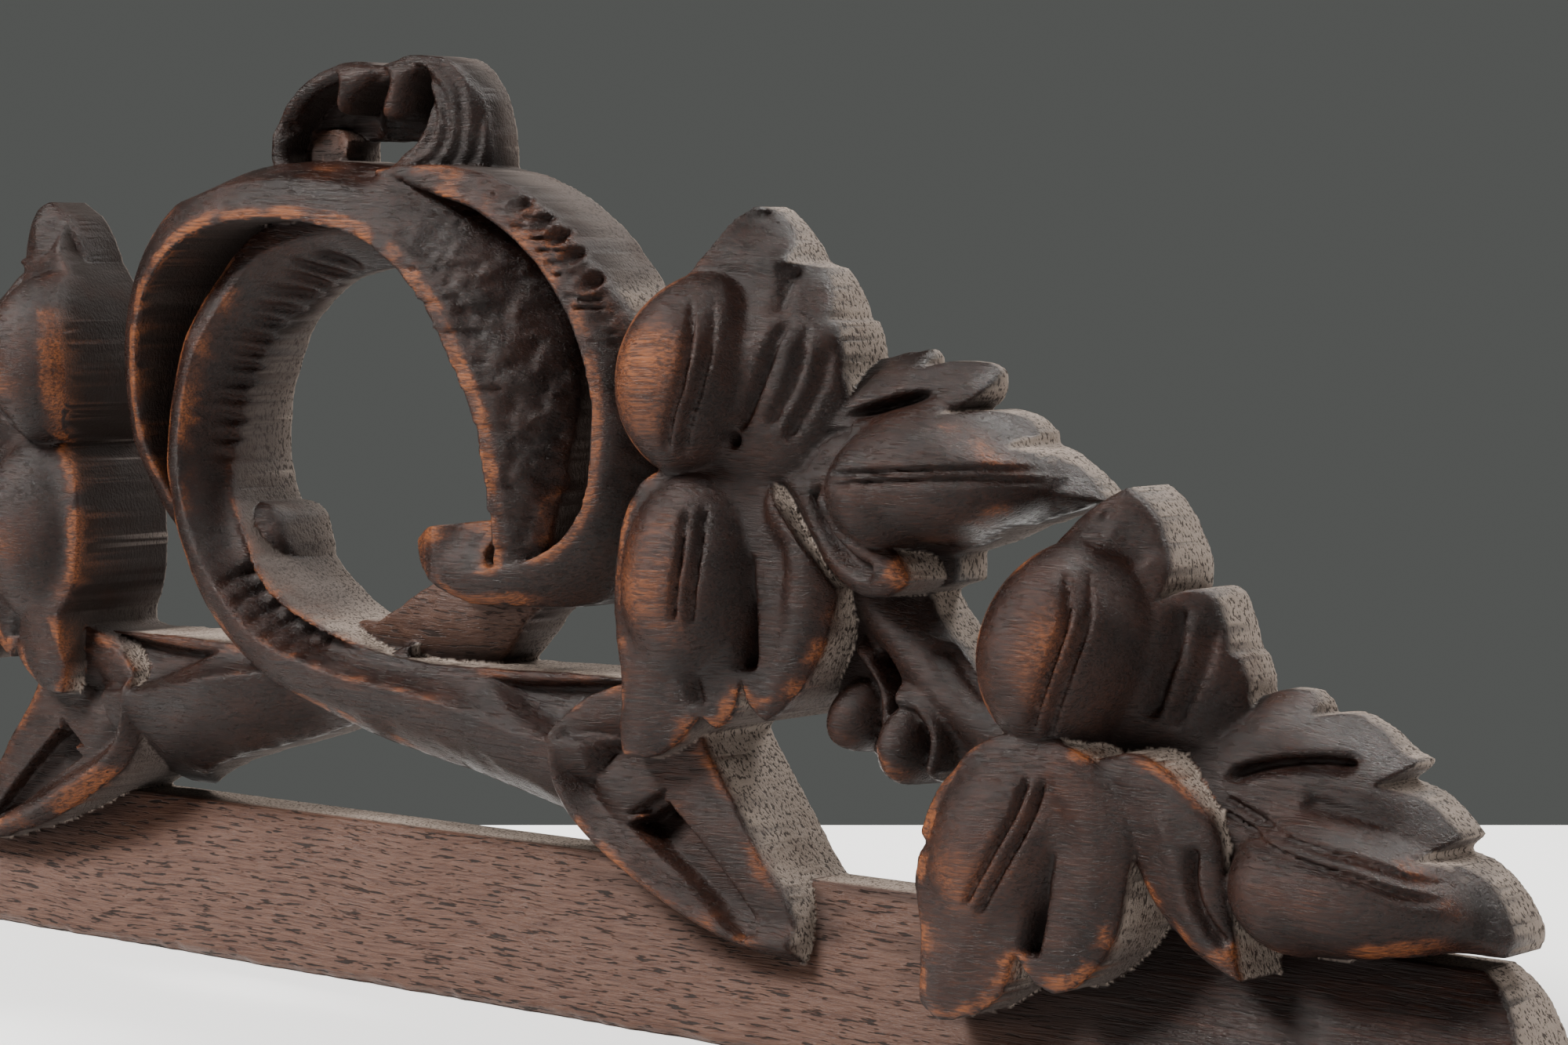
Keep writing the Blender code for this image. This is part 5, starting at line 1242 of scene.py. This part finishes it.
@dataclass
class CarvedBoard:
    """The whole pediment as one solid, carved from one board."""
    layers: list[Layer]
    cell: float = 0.5
    most_triangles: int = 188000
    relief_step: float = 0.5
    waver: float = 0.16
    sawn_band: tuple[float, float] = (0.4, 2.2)
    darker_rail_end: tuple[float, float] = (105.0, 190.0)
    sharp_angle: float = 58.0
    wear: Wear = Wear()
    wall_darkening: WallDarkening = WallDarkening()

    def columns(self, layer: Layer, x: Grid, z: Grid) -> tuple[Grid, Grid]:
        """Measure one layer over a patch of the front view.

        Args:
            layer: the layer.
            x: places along the board.
            z: heights.

        Returns:
            The distance to the sawn edge and the depth of the carved face.
        """
        side = layer.side * x
        edge = edge_distance(layer.line, side, z)
        top = np.minimum(layer.front(side, z, edge), BOARD_DEPTH - 0.6)
        if layer.wax is not Wax.SCANT:
            edge = edge + self.waver * Wobble(71, 2.3).at(x, z)
        return edge, top

    def samples(self) -> tuple[Grid, Grid, Grid, Grid]:
        """Sample the solid on a regular grid.

        Returns:
            The three axes of the grid, and the samples, positive inside.
        """
        xs = np.arange(-HALF_LENGTH - 3.0, HALF_LENGTH + 3.0, self.cell)
        ds = np.arange(-2.0 * self.cell, BOARD_DEPTH + 1.0, self.cell)
        zs = np.arange(-2.0 * self.cell, FULL_HEIGHT + 3.0, self.cell)
        solid = np.full((len(xs), len(ds), len(zs)), -3.0, np.float32)
        for layer in self.layers:
            low, high = layer.line.min(axis=0) - 3.0, layer.line.max(axis=0) + 3.0
            if layer.side < 0.0:
                low[0], high[0] = -high[0], -low[0]
            i0, i1 = np.searchsorted(xs, (low[0], high[0]))
            k0, k1 = np.searchsorted(zs, (low[1], high[1]))
            x, z = np.meshgrid(xs[i0:i1], zs[k0:k1], indexing="ij")
            edge, top = self.columns(layer, x, z)
            edge, top = edge.astype(np.float32), top.astype(np.float32)
            column = smin(edge[:, None, :], top[:, None, :] - ds[None, :, None].astype(np.float32),
                          ARRIS)
            part = solid[i0:i1, :, k0:k1]
            np.maximum(part, column, out=part)
        np.minimum(solid, ds[None, :, None].astype(np.float32), out=solid)
        np.minimum(solid, zs[None, None, :].astype(np.float32), out=solid)
        return xs, ds, zs, np.clip(solid, -3.0, 3.0)

    @staticmethod
    def well_joined(inside: Grid) -> Grid:
        """Fill the few corners at which the solid would only touch itself.

        Args:
            inside: which samples lie in the wood.

        Returns:
            The same array with those corners filled.
        """
        ends = (slice(None, -1), slice(1, None))
        for _ in range(12):
            changed = 0
            for a, b in ((0, 1), (0, 2), (1, 2)):
                face = np.moveaxis(inside, (a, b), (0, 1))
                p, q, r, s = face[:-1, :-1], face[1:, 1:], face[1:, :-1], face[:-1, 1:]
                cross = p & q & ~r & ~s
                other = r & s & ~p & ~q
                changed += int(cross.sum() + other.sum())
                r |= cross
                p |= other
            for ya, yb in (ends, ends[::-1]):
                for za, zb in (ends, ends[::-1]):
                    p, q = inside[:-1, ya, za], inside[1:, yb, zb]
                    count = np.zeros(p.shape, np.int8)
                    for i in ends:
                        for j in ends:
                            for k in ends:
                                count += inside[i, j, k]
                    pair, gap = p & q & (count == 2), ~p & ~q & (count == 6)
                    changed += int(pair.sum() + gap.sum())
                    inside[1:, ya, za] |= pair
                    p |= gap
            if not changed:
                break
        return inside

    def skin(self) -> tuple[Grid, Grid]:
        """Wrap a closed surface of quads round the samples.

        Returns:
            The points as x, depth and height, and the quads.
        """
        xs, ds, zs, solid = self.samples()
        inside = self.well_joined(solid > 0.0)
        solid = np.where(inside, np.maximum(solid, 0.01), np.minimum(solid, -0.01))
        shape = np.array(solid.shape) - 1
        corner = np.zeros(shape, np.int8)
        offsets = [(i, j, k) for i in (0, 1) for j in (0, 1) for k in (0, 1)]
        for i, j, k in offsets:
            corner += inside[i:i + shape[0], j:j + shape[1], k:k + shape[2]]
        cells = np.argwhere((corner > 0) & (corner < 8))
        number = np.full(shape, -1, np.int32)
        number[tuple(cells.T)] = np.arange(len(cells))
        place, hits = np.zeros((len(cells), 3)), np.zeros(len(cells))
        for axis in range(3):
            step = np.zeros(3, int)
            step[axis] = 1
            for start in offsets:
                if start[axis]:
                    continue
                a = cells + start
                fa, fb = solid[tuple(a.T)], solid[tuple((a + step).T)]
                cut = (fa > 0.0) != (fb > 0.0)
                t = np.where(cut, fa / np.where(cut, fa - fb, 1.0), 0.0)
                place += np.where(cut[:, None], np.array(start)[None, :] + t[:, None] * step, 0.0)
                hits += cut
        place = cells + place / hits[:, None]
        points = np.array([xs[0], ds[0], zs[0]]) + place * self.cell
        faces = []
        for axis in range(3):
            b, c = (axis + 1) % 3, (axis + 2) % 3
            low, high = [slice(None)] * 3, [slice(None)] * 3
            low[axis], high[axis] = slice(None, -1), slice(1, None)
            first, second = inside[tuple(low)], inside[tuple(high)]
            edge = np.argwhere(first != second)
            keep = (edge[:, b] > 0) & (edge[:, c] > 0)
            keep &= (edge[:, b] < solid.shape[b] - 1) & (edge[:, c] < solid.shape[c] - 1)
            edge = edge[keep]
            leave = first[tuple(edge.T)]
            sb, sc = np.zeros(3, int), np.zeros(3, int)
            sb[b], sc[c] = 1, 1
            quad = np.column_stack([number[tuple((edge - sb - sc).T)], number[tuple((edge - sc).T)],
                                    number[tuple(edge.T)], number[tuple((edge - sb).T)]])
            quad[~leave] = quad[~leave][:, ::-1]
            faces.append(quad[:, ::-1])
        return points, np.vstack(faces)

    def mark(self, mesh: bpy.types.Mesh) -> None:
        """Write how sawn, rubbed, waxed and hollow each point of the skin is.

        Args:
            mesh: the finished mesh, in metres.
        """
        co = np.empty(len(mesh.vertices) * 3, np.float32)
        mesh.vertices.foreach_get("co", co)
        x, y, z = (co.reshape(-1, 3).T / MM).astype(float)
        depth = BACK - y
        best = np.full(x.shape, -1.0e9)
        sawn, wax = np.zeros(x.shape), np.ones(x.shape)
        for layer in self.layers:
            low, high = layer.line.min(axis=0) - 1.5, layer.line.max(axis=0) + 1.5
            side = layer.side * x
            near = (side > low[0]) & (side < high[0]) & (z > low[1]) & (z < high[1])
            if not near.any():
                continue
            edge, top = self.columns(layer, x[near], z[near])
            score = np.minimum(edge, top - depth[near])
            wins = score > best[near]
            where = np.flatnonzero(near)[wins]
            best[where] = score[wins]
            sawn[where] = ramp((top - depth[near] - edge)[wins], *self.sawn_band)
            wax[where] = layer.wax.value
        flat = depth < 0.05
        sawn[flat | (z < 0.05)] = 1.0
        relief = self.relief()
        step = self.relief_step
        i = np.clip(((x + HALF_LENGTH + 3.0) / step).astype(int), 0, relief[0].shape[0] - 1)
        k = np.clip((z / step).astype(int), 0, relief[0].shape[1] - 1)
        fine, broad = relief[0][i, k], relief[1][i, k]
        rubbed = self.wear.rubbed(x, z, depth, fine)
        # the rail is made darker towards its right end
        wax = wax + 0.72 * ramp(x, *self.darker_rail_end) * (wax == Wax.SCANT.value)
        # how far each point lies below its surroundings; the finish paints shade into these hollows
        hollow = np.clip(-0.30 * fine - 0.11 * broad, 0.0, 1.0)
        normals = np.empty(len(mesh.vertices) * 3, np.float32)
        mesh.vertices.foreach_get("normal", normals)
        # how dark the sawn walls are made: by place, and painted shade where they face down
        wall_darkness = self.wall_darkening.on_walls(normals.reshape(-1, 3)[:, 2].astype(float), x, z, depth)
        for name, values in (("sawn", sawn), ("rubbed", rubbed), ("waxed", wax), ("hollow", hollow),
                             ("wall_darkness", wall_darkness)):
            slot = mesh.attributes.new(name, "FLOAT", "POINT")
            slot.data.foreach_set("value", values.astype(np.float32))

    def relief(self) -> tuple[Grid, Grid]:
        """Measure how far the face stands above its surroundings.

        Returns:
            The fine and the broad relief over the front view, in millimetres.
        """
        step = self.relief_step
        xs = np.arange(-HALF_LENGTH - 3.0, HALF_LENGTH + 3.0, step)
        zs = np.arange(0.0, FULL_HEIGHT + 3.0, step)
        face = np.zeros((len(xs), len(zs)))
        for layer in self.layers:
            low, high = layer.line.min(axis=0) - 1.0, layer.line.max(axis=0) + 1.0
            if layer.side < 0.0:
                low[0], high[0] = -high[0], -low[0]
            i0, i1 = np.searchsorted(xs, (low[0], high[0]))
            k0, k1 = np.searchsorted(zs, (low[1], high[1]))
            x, z = np.meshgrid(xs[i0:i1], zs[k0:k1], indexing="ij")
            edge, top = self.columns(layer, x, z)
            part = face[i0:i1, k0:k1]
            np.maximum(part, np.where(edge > 0.0, top, 0.0), out=part)
        return face - self.soften(face, 3, 3), face - self.soften(face, 12, 3)

    @staticmethod
    def soften(face: Grid, reach: int, times: int) -> Grid:
        """Average a face over its surroundings.

        Args:
            face: values over the front view.
            reach: cells on each side that the average takes in.
            times: how often it is averaged.

        Returns:
            The softened face.
        """
        out = face
        for _ in range(times):
            for axis in (0, 1):
                wide = np.pad(out, [(reach + 1, reach) if a == axis else (0, 0) for a in (0, 1)], "edge")
                total = np.cumsum(wide, axis=axis)
                n = out.shape[axis]
                ahead = np.take(total, np.arange(2 * reach + 1, 2 * reach + 1 + n), axis=axis)
                behind = np.take(total, np.arange(0, n), axis=axis)
                out = (ahead - behind) / (2 * reach + 1)
        return out

    def build(self, name: str) -> bpy.types.Object:
        """Make the skin, thin it to its triangle limit and mark its wear.

        Args:
            name: the piece's name.

        Returns:
            The finished piece.
        """
        points, faces = self.skin()
        points = np.column_stack([points[:, 0], BACK - points[:, 1], points[:, 2]]) * MM
        mesh = bpy.data.meshes.new(name)
        mesh.vertices.add(len(points))
        mesh.vertices.foreach_set("co", points.astype(np.float32).ravel())
        mesh.loops.add(faces.size)
        mesh.loops.foreach_set("vertex_index", faces.astype(np.int32).ravel())
        mesh.polygons.add(len(faces))
        mesh.polygons.foreach_set("loop_start", np.arange(0, faces.size, 4, dtype=np.int32))
        mesh.update(calc_edges=True)
        piece = bpy.data.objects.new(name, mesh)
        bpy.context.scene.collection.objects.link(piece)
        thin = piece.modifiers.new("thin", "DECIMATE")
        thin.ratio = min(1.0, self.most_triangles / (2.0 * len(faces)))
        view = bpy.context.evaluated_depsgraph_get()
        thinned = bpy.data.meshes.new_from_object(piece.evaluated_get(view))
        piece.modifiers.clear()
        piece.data = thinned
        bpy.data.meshes.remove(mesh)
        self.mark(thinned)
        thinned.shade_smooth()
        thinned.set_sharp_from_angle(angle=math.radians(self.sharp_angle))
        LOG.info("%s: %d quads thinned to %d triangles", name, len(faces), len(thinned.polygons))
        return piece


class Nodes:
    """A short way to lay and join shader nodes in one tree."""

    def __init__(self, tree: bpy.types.NodeTree) -> None:
        """Keep the tree that the nodes are laid in."""
        self.tree = tree

    def lay(self, kind: str, inputs: dict | None = None, **settings: object) -> bpy.types.Node:
        """Lay one node.

        Args:
            kind: the node's type.
            inputs: values or sockets for its inputs, by name or number.
            settings: the node's own properties.

        Returns:
            The node.
        """
        node = self.tree.nodes.new(kind)
        for key, value in settings.items():
            setattr(node, key, value)
        for key, value in (inputs or {}).items():
            socket = node.inputs[key]
            if isinstance(value, bpy.types.NodeSocket):
                self.tree.links.new(value, socket)
            else:
                socket.default_value = value
        return node

    def sum(self, kind: str, a: object, b: object = 0.0, clamp: bool = False) -> bpy.types.NodeSocket:
        """Lay a Math node and return its result."""
        node = self.lay("ShaderNodeMath", {0: a, 1: b}, operation=kind, use_clamp=clamp)
        return node.outputs[0]

    def blend(self, share: object, a: object, b: object, kind: str = "MIX") -> bpy.types.NodeSocket:
        """Lay a colour mix and return its result."""
        node = self.lay("ShaderNodeMix", {0: share, 6: a, 7: b}, data_type="RGBA", blend_type=kind)
        return node.outputs[2]

    def fit(self, value: object, low: float, high: float, out_low: float = 0.0,
            out_high: float = 1.0) -> bpy.types.NodeSocket:
        """Map a value smoothly from one range to another.

        Args:
            value: the socket or number to map.
            low: value that gives out_low.
            high: value that gives out_high.
            out_low: first end of the new range.
            out_high: other end of the new range.

        Returns:
            The mapped value's socket.
        """
        node = self.lay("ShaderNodeMapRange", {0: value, 1: low, 2: high, 3: out_low, 4: out_high},
                        interpolation_type="SMOOTHSTEP")
        return node.outputs[0]


@dataclass(frozen=True)
class OakGrain:
    """The figure of the oak: pores, soft and hard growth, and sawn roughness."""
    pore_length: float = 2.6
    pore_width: float = 0.26
    ring_width: float = 0.45

    def group(self) -> bpy.types.NodeTree:
        """Build the grain's node group.

        Returns:
            The group, with pores, rings, mottle and grit as its outputs.
        """
        tree = bpy.data.node_groups.new("oak grain", "ShaderNodeTree")
        for label in ("Pores", "Rings", "Mottle", "Grit", "Fibre"):
            tree.interface.new_socket(name=label, in_out="OUTPUT", socket_type="NodeSocketFloat")
        n = Nodes(tree)
        place = n.lay("ShaderNodeTexCoord").outputs["Object"]
        # the grain runs along the board and wanders a little
        drift = n.lay("ShaderNodeTexNoise", {"Vector": place, "Scale": 18.0, "Detail": 1.0})
        lean = n.lay("ShaderNodeVectorMath", {0: drift.outputs["Color"], 1: (0.0, 0.004, 0.004)},
                     operation="MULTIPLY").outputs[0]
        bent = n.lay("ShaderNodeVectorMath", {0: place, 1: lean}, operation="ADD").outputs[0]
        # pores are short dashes along the grain
        along_x, across = 1.0 / (self.pore_length * MM), 1.0 / (self.pore_width * MM)
        dash = n.lay("ShaderNodeMapping", {"Vector": bent, "Scale": (along_x, across * 0.45, across)})
        cells = n.lay("ShaderNodeTexNoise", {"Vector": dash.outputs[0], "Scale": 0.55, "Detail": 2.0,
                                             "Roughness": 0.6})
        pores = n.fit(cells.outputs[0], 0.57, 0.64)
        wide = 1.0 / (self.ring_width * MM)
        ring = n.lay("ShaderNodeMapping", {"Vector": bent, "Scale": (90.0, wide, wide * 1.2)})
        rings = n.lay("ShaderNodeTexNoise", {"Vector": ring.outputs[0], "Scale": 1.0, "Detail": 5.0,
                                             "Roughness": 0.72}).outputs[0]
        stretch = n.lay("ShaderNodeMapping", {"Vector": place, "Scale": (70.0, 110.0, 120.0)})
        mottle = n.lay("ShaderNodeTexNoise", {"Vector": stretch.outputs[0], "Scale": 1.0,
                                              "Detail": 4.0, "Roughness": 0.6}).outputs[0]
        dots = n.lay("ShaderNodeMapping", {"Vector": place, "Scale": (2000.0, 2000.0, 1000.0)})
        grit = n.lay("ShaderNodeTexNoise", {"Vector": dots.outputs[0], "Scale": 1.0, "Detail": 2.0,
                                            "Roughness": 0.6}).outputs[0]
        hair = n.lay("ShaderNodeMapping", {"Vector": bent, "Scale": (230.0, 2600.0, 3400.0)})
        fibre = n.lay("ShaderNodeTexNoise", {"Vector": hair.outputs[0], "Scale": 1.0,
                                             "Detail": 2.0}).outputs[0]
        end = n.lay("NodeGroupOutput")
        for label, socket in (("Pores", pores), ("Rings", rings), ("Mottle", mottle), ("Grit", grit),
                              ("Fibre", fibre)):
            tree.links.new(socket, end.inputs[label])
        return tree


@dataclass(frozen=True)
class OakFinish:
    """Dark wax over oak, rubbed through on what stands out, raw where sawn."""
    black: tuple[float, float, float, float] = (0.0068, 0.0036, 0.0030, 1.0)
    brown: tuple[float, float, float, float] = (0.0330, 0.0112, 0.0062, 1.0)
    rubbed: tuple[float, float, float, float] = (0.165, 0.0525, 0.0160, 1.0)
    plain: tuple[float, float, float, float] = (0.080, 0.0405, 0.0275, 1.0)
    raw: tuple[float, float, float, float] = (0.270, 0.219, 0.183, 1.0)
    dim_wall: tuple[float, float, float, float] = (0.085, 0.068, 0.060, 1.0)
    dark_wall: tuple[float, float, float, float] = (0.0140, 0.0085, 0.0065, 1.0)
    pore: tuple[float, float, float, float] = (0.0065, 0.0035, 0.0025, 1.0)
    grain: OakGrain = OakGrain()

    def material(self) -> bpy.types.Material:
        """Build the finish.

        Returns:
            The material.
        """
        made = bpy.data.materials.new("waxed oak")
        made.use_nodes = True
        tree = made.node_tree
        tree.nodes.clear()
        n = Nodes(tree)
        wood = n.lay("ShaderNodeGroup")
        wood.node_tree = self.grain.group()
        pores, rings, mottle, grit, fibre = (wood.outputs[k] for k in
                                             ("Pores", "Rings", "Mottle", "Grit", "Fibre"))
        sawn, rubbed, waxed, hollow, wall_darkness = (
            n.lay("ShaderNodeAttribute", attribute_name=name).outputs["Fac"]
            for name in ("sawn", "rubbed", "waxed", "hollow", "wall_darkness"))
        # wax, thin wax and where it is worn through
        worn = n.sum("ADD", rubbed, n.sum("MULTIPLY", n.sum("SUBTRACT", mottle, 0.5), 0.7))
        worn = n.sum("ADD", worn, n.sum("MULTIPLY", n.sum("SUBTRACT", rings, 0.5), 0.9))
        worn = n.fit(worn, 0.24, 0.98)
        tone = n.sum("ADD", n.sum("MULTIPLY", mottle, 0.6), n.sum("MULTIPLY", rings, 0.9))
        tone = n.sum("ADD", tone, n.sum("MULTIPLY", rubbed, 0.55))
        dark = n.blend(n.fit(tone, 0.60, 1.15), self.black, self.brown)
        bare = n.blend(n.fit(n.sum("ADD", rings, n.sum("MULTIPLY", fibre, 0.35)), 0.42, 0.82),
                       self.brown, self.plain)
        thin = n.fit(waxed, 0.9, 0.3)
        base = n.blend(thin, dark, bare)
        gold = n.blend(n.fit(n.sum("ADD", rings, n.sum("MULTIPLY", fibre, 0.4)), 0.52, 0.84),
                       self.brown, self.rubbed)
        base = n.blend(worn, base, gold)
        # painted shade: hollows darkened towards black
        base = n.blend(n.sum("MULTIPLY", hollow, 0.75), base, self.black)
        # raw sawn wood, darker in listed places, with painted shade where it faces down
        wall = n.blend(n.fit(wall_darkness, 0.0, 0.5), self.raw, self.dim_wall)
        wall = n.blend(n.fit(wall_darkness, 0.5, 1.0), wall, self.dark_wall)
        speck = n.sum("MULTIPLY", n.fit(grit, 0.46, 0.40), n.fit(wall_darkness, 0.8, 0.2, 0.25, 0.85))
        wall = n.blend(speck, wall, self.dark_wall)
        wall = n.blend(n.sum("MULTIPLY", n.fit(mottle, 0.5, 0.8), 0.35), wall, self.brown)
        base = n.blend(n.sum("MULTIPLY", sawn, 0.94), base, wall)
        # open pores, fewer under full wax
        open_grain = n.sum("MULTIPLY", pores, n.fit(waxed, 1.0, 0.3, 0.45, 0.92))
        open_grain = n.sum("MULTIPLY", open_grain, n.sum("SUBTRACT", 1.0, sawn))
        base = n.blend(open_grain, base, self.pore)
        # gloss: waxed high places shine, hollows and sawn wood are matt
        rough = n.sum("ADD", n.fit(mottle, 0.3, 0.75, 0.16, 0.30), n.sum("MULTIPLY", thin, 0.14))
        rough = n.sum("ADD", rough, n.sum("MULTIPLY", hollow, 0.35))
        rough = n.sum("ADD", rough, n.sum("MULTIPLY", worn, 0.12))
        rough = n.sum("ADD", rough, n.sum("MULTIPLY", sawn, 0.55))
        rough = n.sum("ADD", rough, n.sum("MULTIPLY", open_grain, 0.3), True)
        # fine relief of rings, fibre, pores and saw marks
        height = n.sum("MULTIPLY", rings, 0.85)
        height = n.sum("ADD", height, n.sum("MULTIPLY", fibre, 0.16))
        height = n.sum("SUBTRACT", height, n.sum("MULTIPLY", open_grain, 0.55))
        raised = n.sum("MULTIPLY", n.sum("MULTIPLY", grit, sawn), 1.6)
        bump = n.lay("ShaderNodeBump", {"Strength": 0.85, "Distance": 0.00031,
                                        "Height": n.sum("ADD", height, raised)})
        shader = n.lay("ShaderNodeBsdfPrincipled",
                       {"Base Color": base, "Roughness": rough, "Normal": bump.outputs[0],
                        "IOR": 1.5, "Specular IOR Level": 0.17})
        end = n.lay("ShaderNodeOutputMaterial")
        tree.links.new(shader.outputs[0], end.inputs[0])
        return made


@dataclass(frozen=True)
class Lamp:
    """One soft rectangular light."""
    place: tuple[float, float, float]
    power: float
    width: float
    height: float
    tint: tuple[float, float, float] = (1.0, 0.98, 0.95)

    def hang(self, name: str) -> None:
        """Hang the light, turned to the middle of the pediment.

        Args:
            name: the light's name in the scene.
        """
        data = bpy.data.lights.new(name, "AREA")
        data.shape, data.energy, data.color = "RECTANGLE", self.power, self.tint
        data.size, data.size_y = self.width, self.height
        lamp = bpy.data.objects.new(name, data)
        bpy.context.scene.collection.objects.link(lamp)
        lamp.location = self.place
        lamp.rotation_euler = (Vector((0.03, 0.0, 0.07)) - Vector(self.place)).to_track_quat(
            "-Z", "Y").to_euler()


@dataclass
class Studio:
    """The pale floor, grey surroundings, soft lights and camera."""
    yaw: float = 40.0
    pitch: float = 86.147
    lens: float = 87.8
    eye: tuple[float, float, float] = (0.48846, -0.46935, 0.12514)
    far_edge: float = 0.176
    lamps: tuple[Lamp, ...] = (
        Lamp((-0.75, -0.85, 1.25), 76.0, 0.60, 0.44),
        Lamp((1.25, -0.25, 0.85), 8.5, 0.32, 0.60),
        Lamp((0.15, 1.05, 1.15), 30.0, 0.84, 0.36),
        Lamp((0.55, -1.5, 0.35), 2.0, 0.66, 0.44))

    def floor(self) -> None:
        """Lay the floor, its far edge square to the camera's view."""
        half, near = 3.0, 3.0
        c, s = math.cos(math.radians(self.yaw)), math.sin(math.radians(self.yaw))
        corners = [(-half, -near), (half, -near), (half, self.far_edge), (-half, self.far_edge)]
        mesh = bpy.data.meshes.new("floor")
        mesh.from_pydata([(u * c - v * s, u * s + v * c, 0.0) for u, v in corners], [], [(0, 1, 2, 3)])
        plain = bpy.data.materials.new("pale floor")
        plain.use_nodes = True
        shader = plain.node_tree.nodes["Principled BSDF"]
        shader.inputs["Base Color"].default_value = (0.97, 0.97, 0.97, 1.0)
        shader.inputs["Roughness"].default_value = 0.7
        mesh.materials.append(plain)
        floor = bpy.data.objects.new("floor", mesh)
        bpy.context.scene.collection.objects.link(floor)
        floor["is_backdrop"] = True

    def surroundings(self) -> None:
        """Fill the room with an even grey."""
        world = bpy.data.worlds.new("grey room")
        world.use_nodes = True
        world.node_tree.nodes["Background"].inputs["Color"].default_value = (0.092, 0.096, 0.092, 1.0)
        bpy.context.scene.world = world

    def camera(self) -> None:
        """Stand the camera at the photograph's place."""
        data = bpy.data.cameras.new("camera")
        data.lens, data.sensor_width, data.clip_start = self.lens, 36.0, 0.01
        camera = bpy.data.objects.new("camera", data)
        bpy.context.scene.collection.objects.link(camera)
        camera.location = self.eye
        camera.rotation_euler = (math.radians(self.pitch), 0.0, math.radians(self.yaw))
        bpy.context.scene.camera = camera

    def set_up(self) -> None:
        """Put everything round the pediment in place."""
        self.floor()
        self.surroundings()
        self.camera()
        for number, lamp in enumerate(self.lamps):
            lamp.hang("lamp %d" % number)


def corners() -> list[list[float]]:
    """Return the shown object's lowest and highest corner as plain lists."""
    return [list(corner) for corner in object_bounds()]


def main() -> None:
    """Build the pediment and its studio, and report each piece."""
    logging.basicConfig(level=logging.INFO)
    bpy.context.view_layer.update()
    stem = Stem()
    makers = (Strap(), stem, BackStem(stem), Hoop(), Rail(), SpearLeaf(), LeafCluster(), Curls())
    layers = [layer for maker in makers for layer in maker.layers()]
    piece = CarvedBoard(layers).build("carved_pediment")
    piece.data.materials.append(OakFinish().material())
    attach(piece, "root")
    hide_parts("pediment")
    Studio().set_up()
    LOG.info("studio ready")


if __name__ == "__main__":
    main()
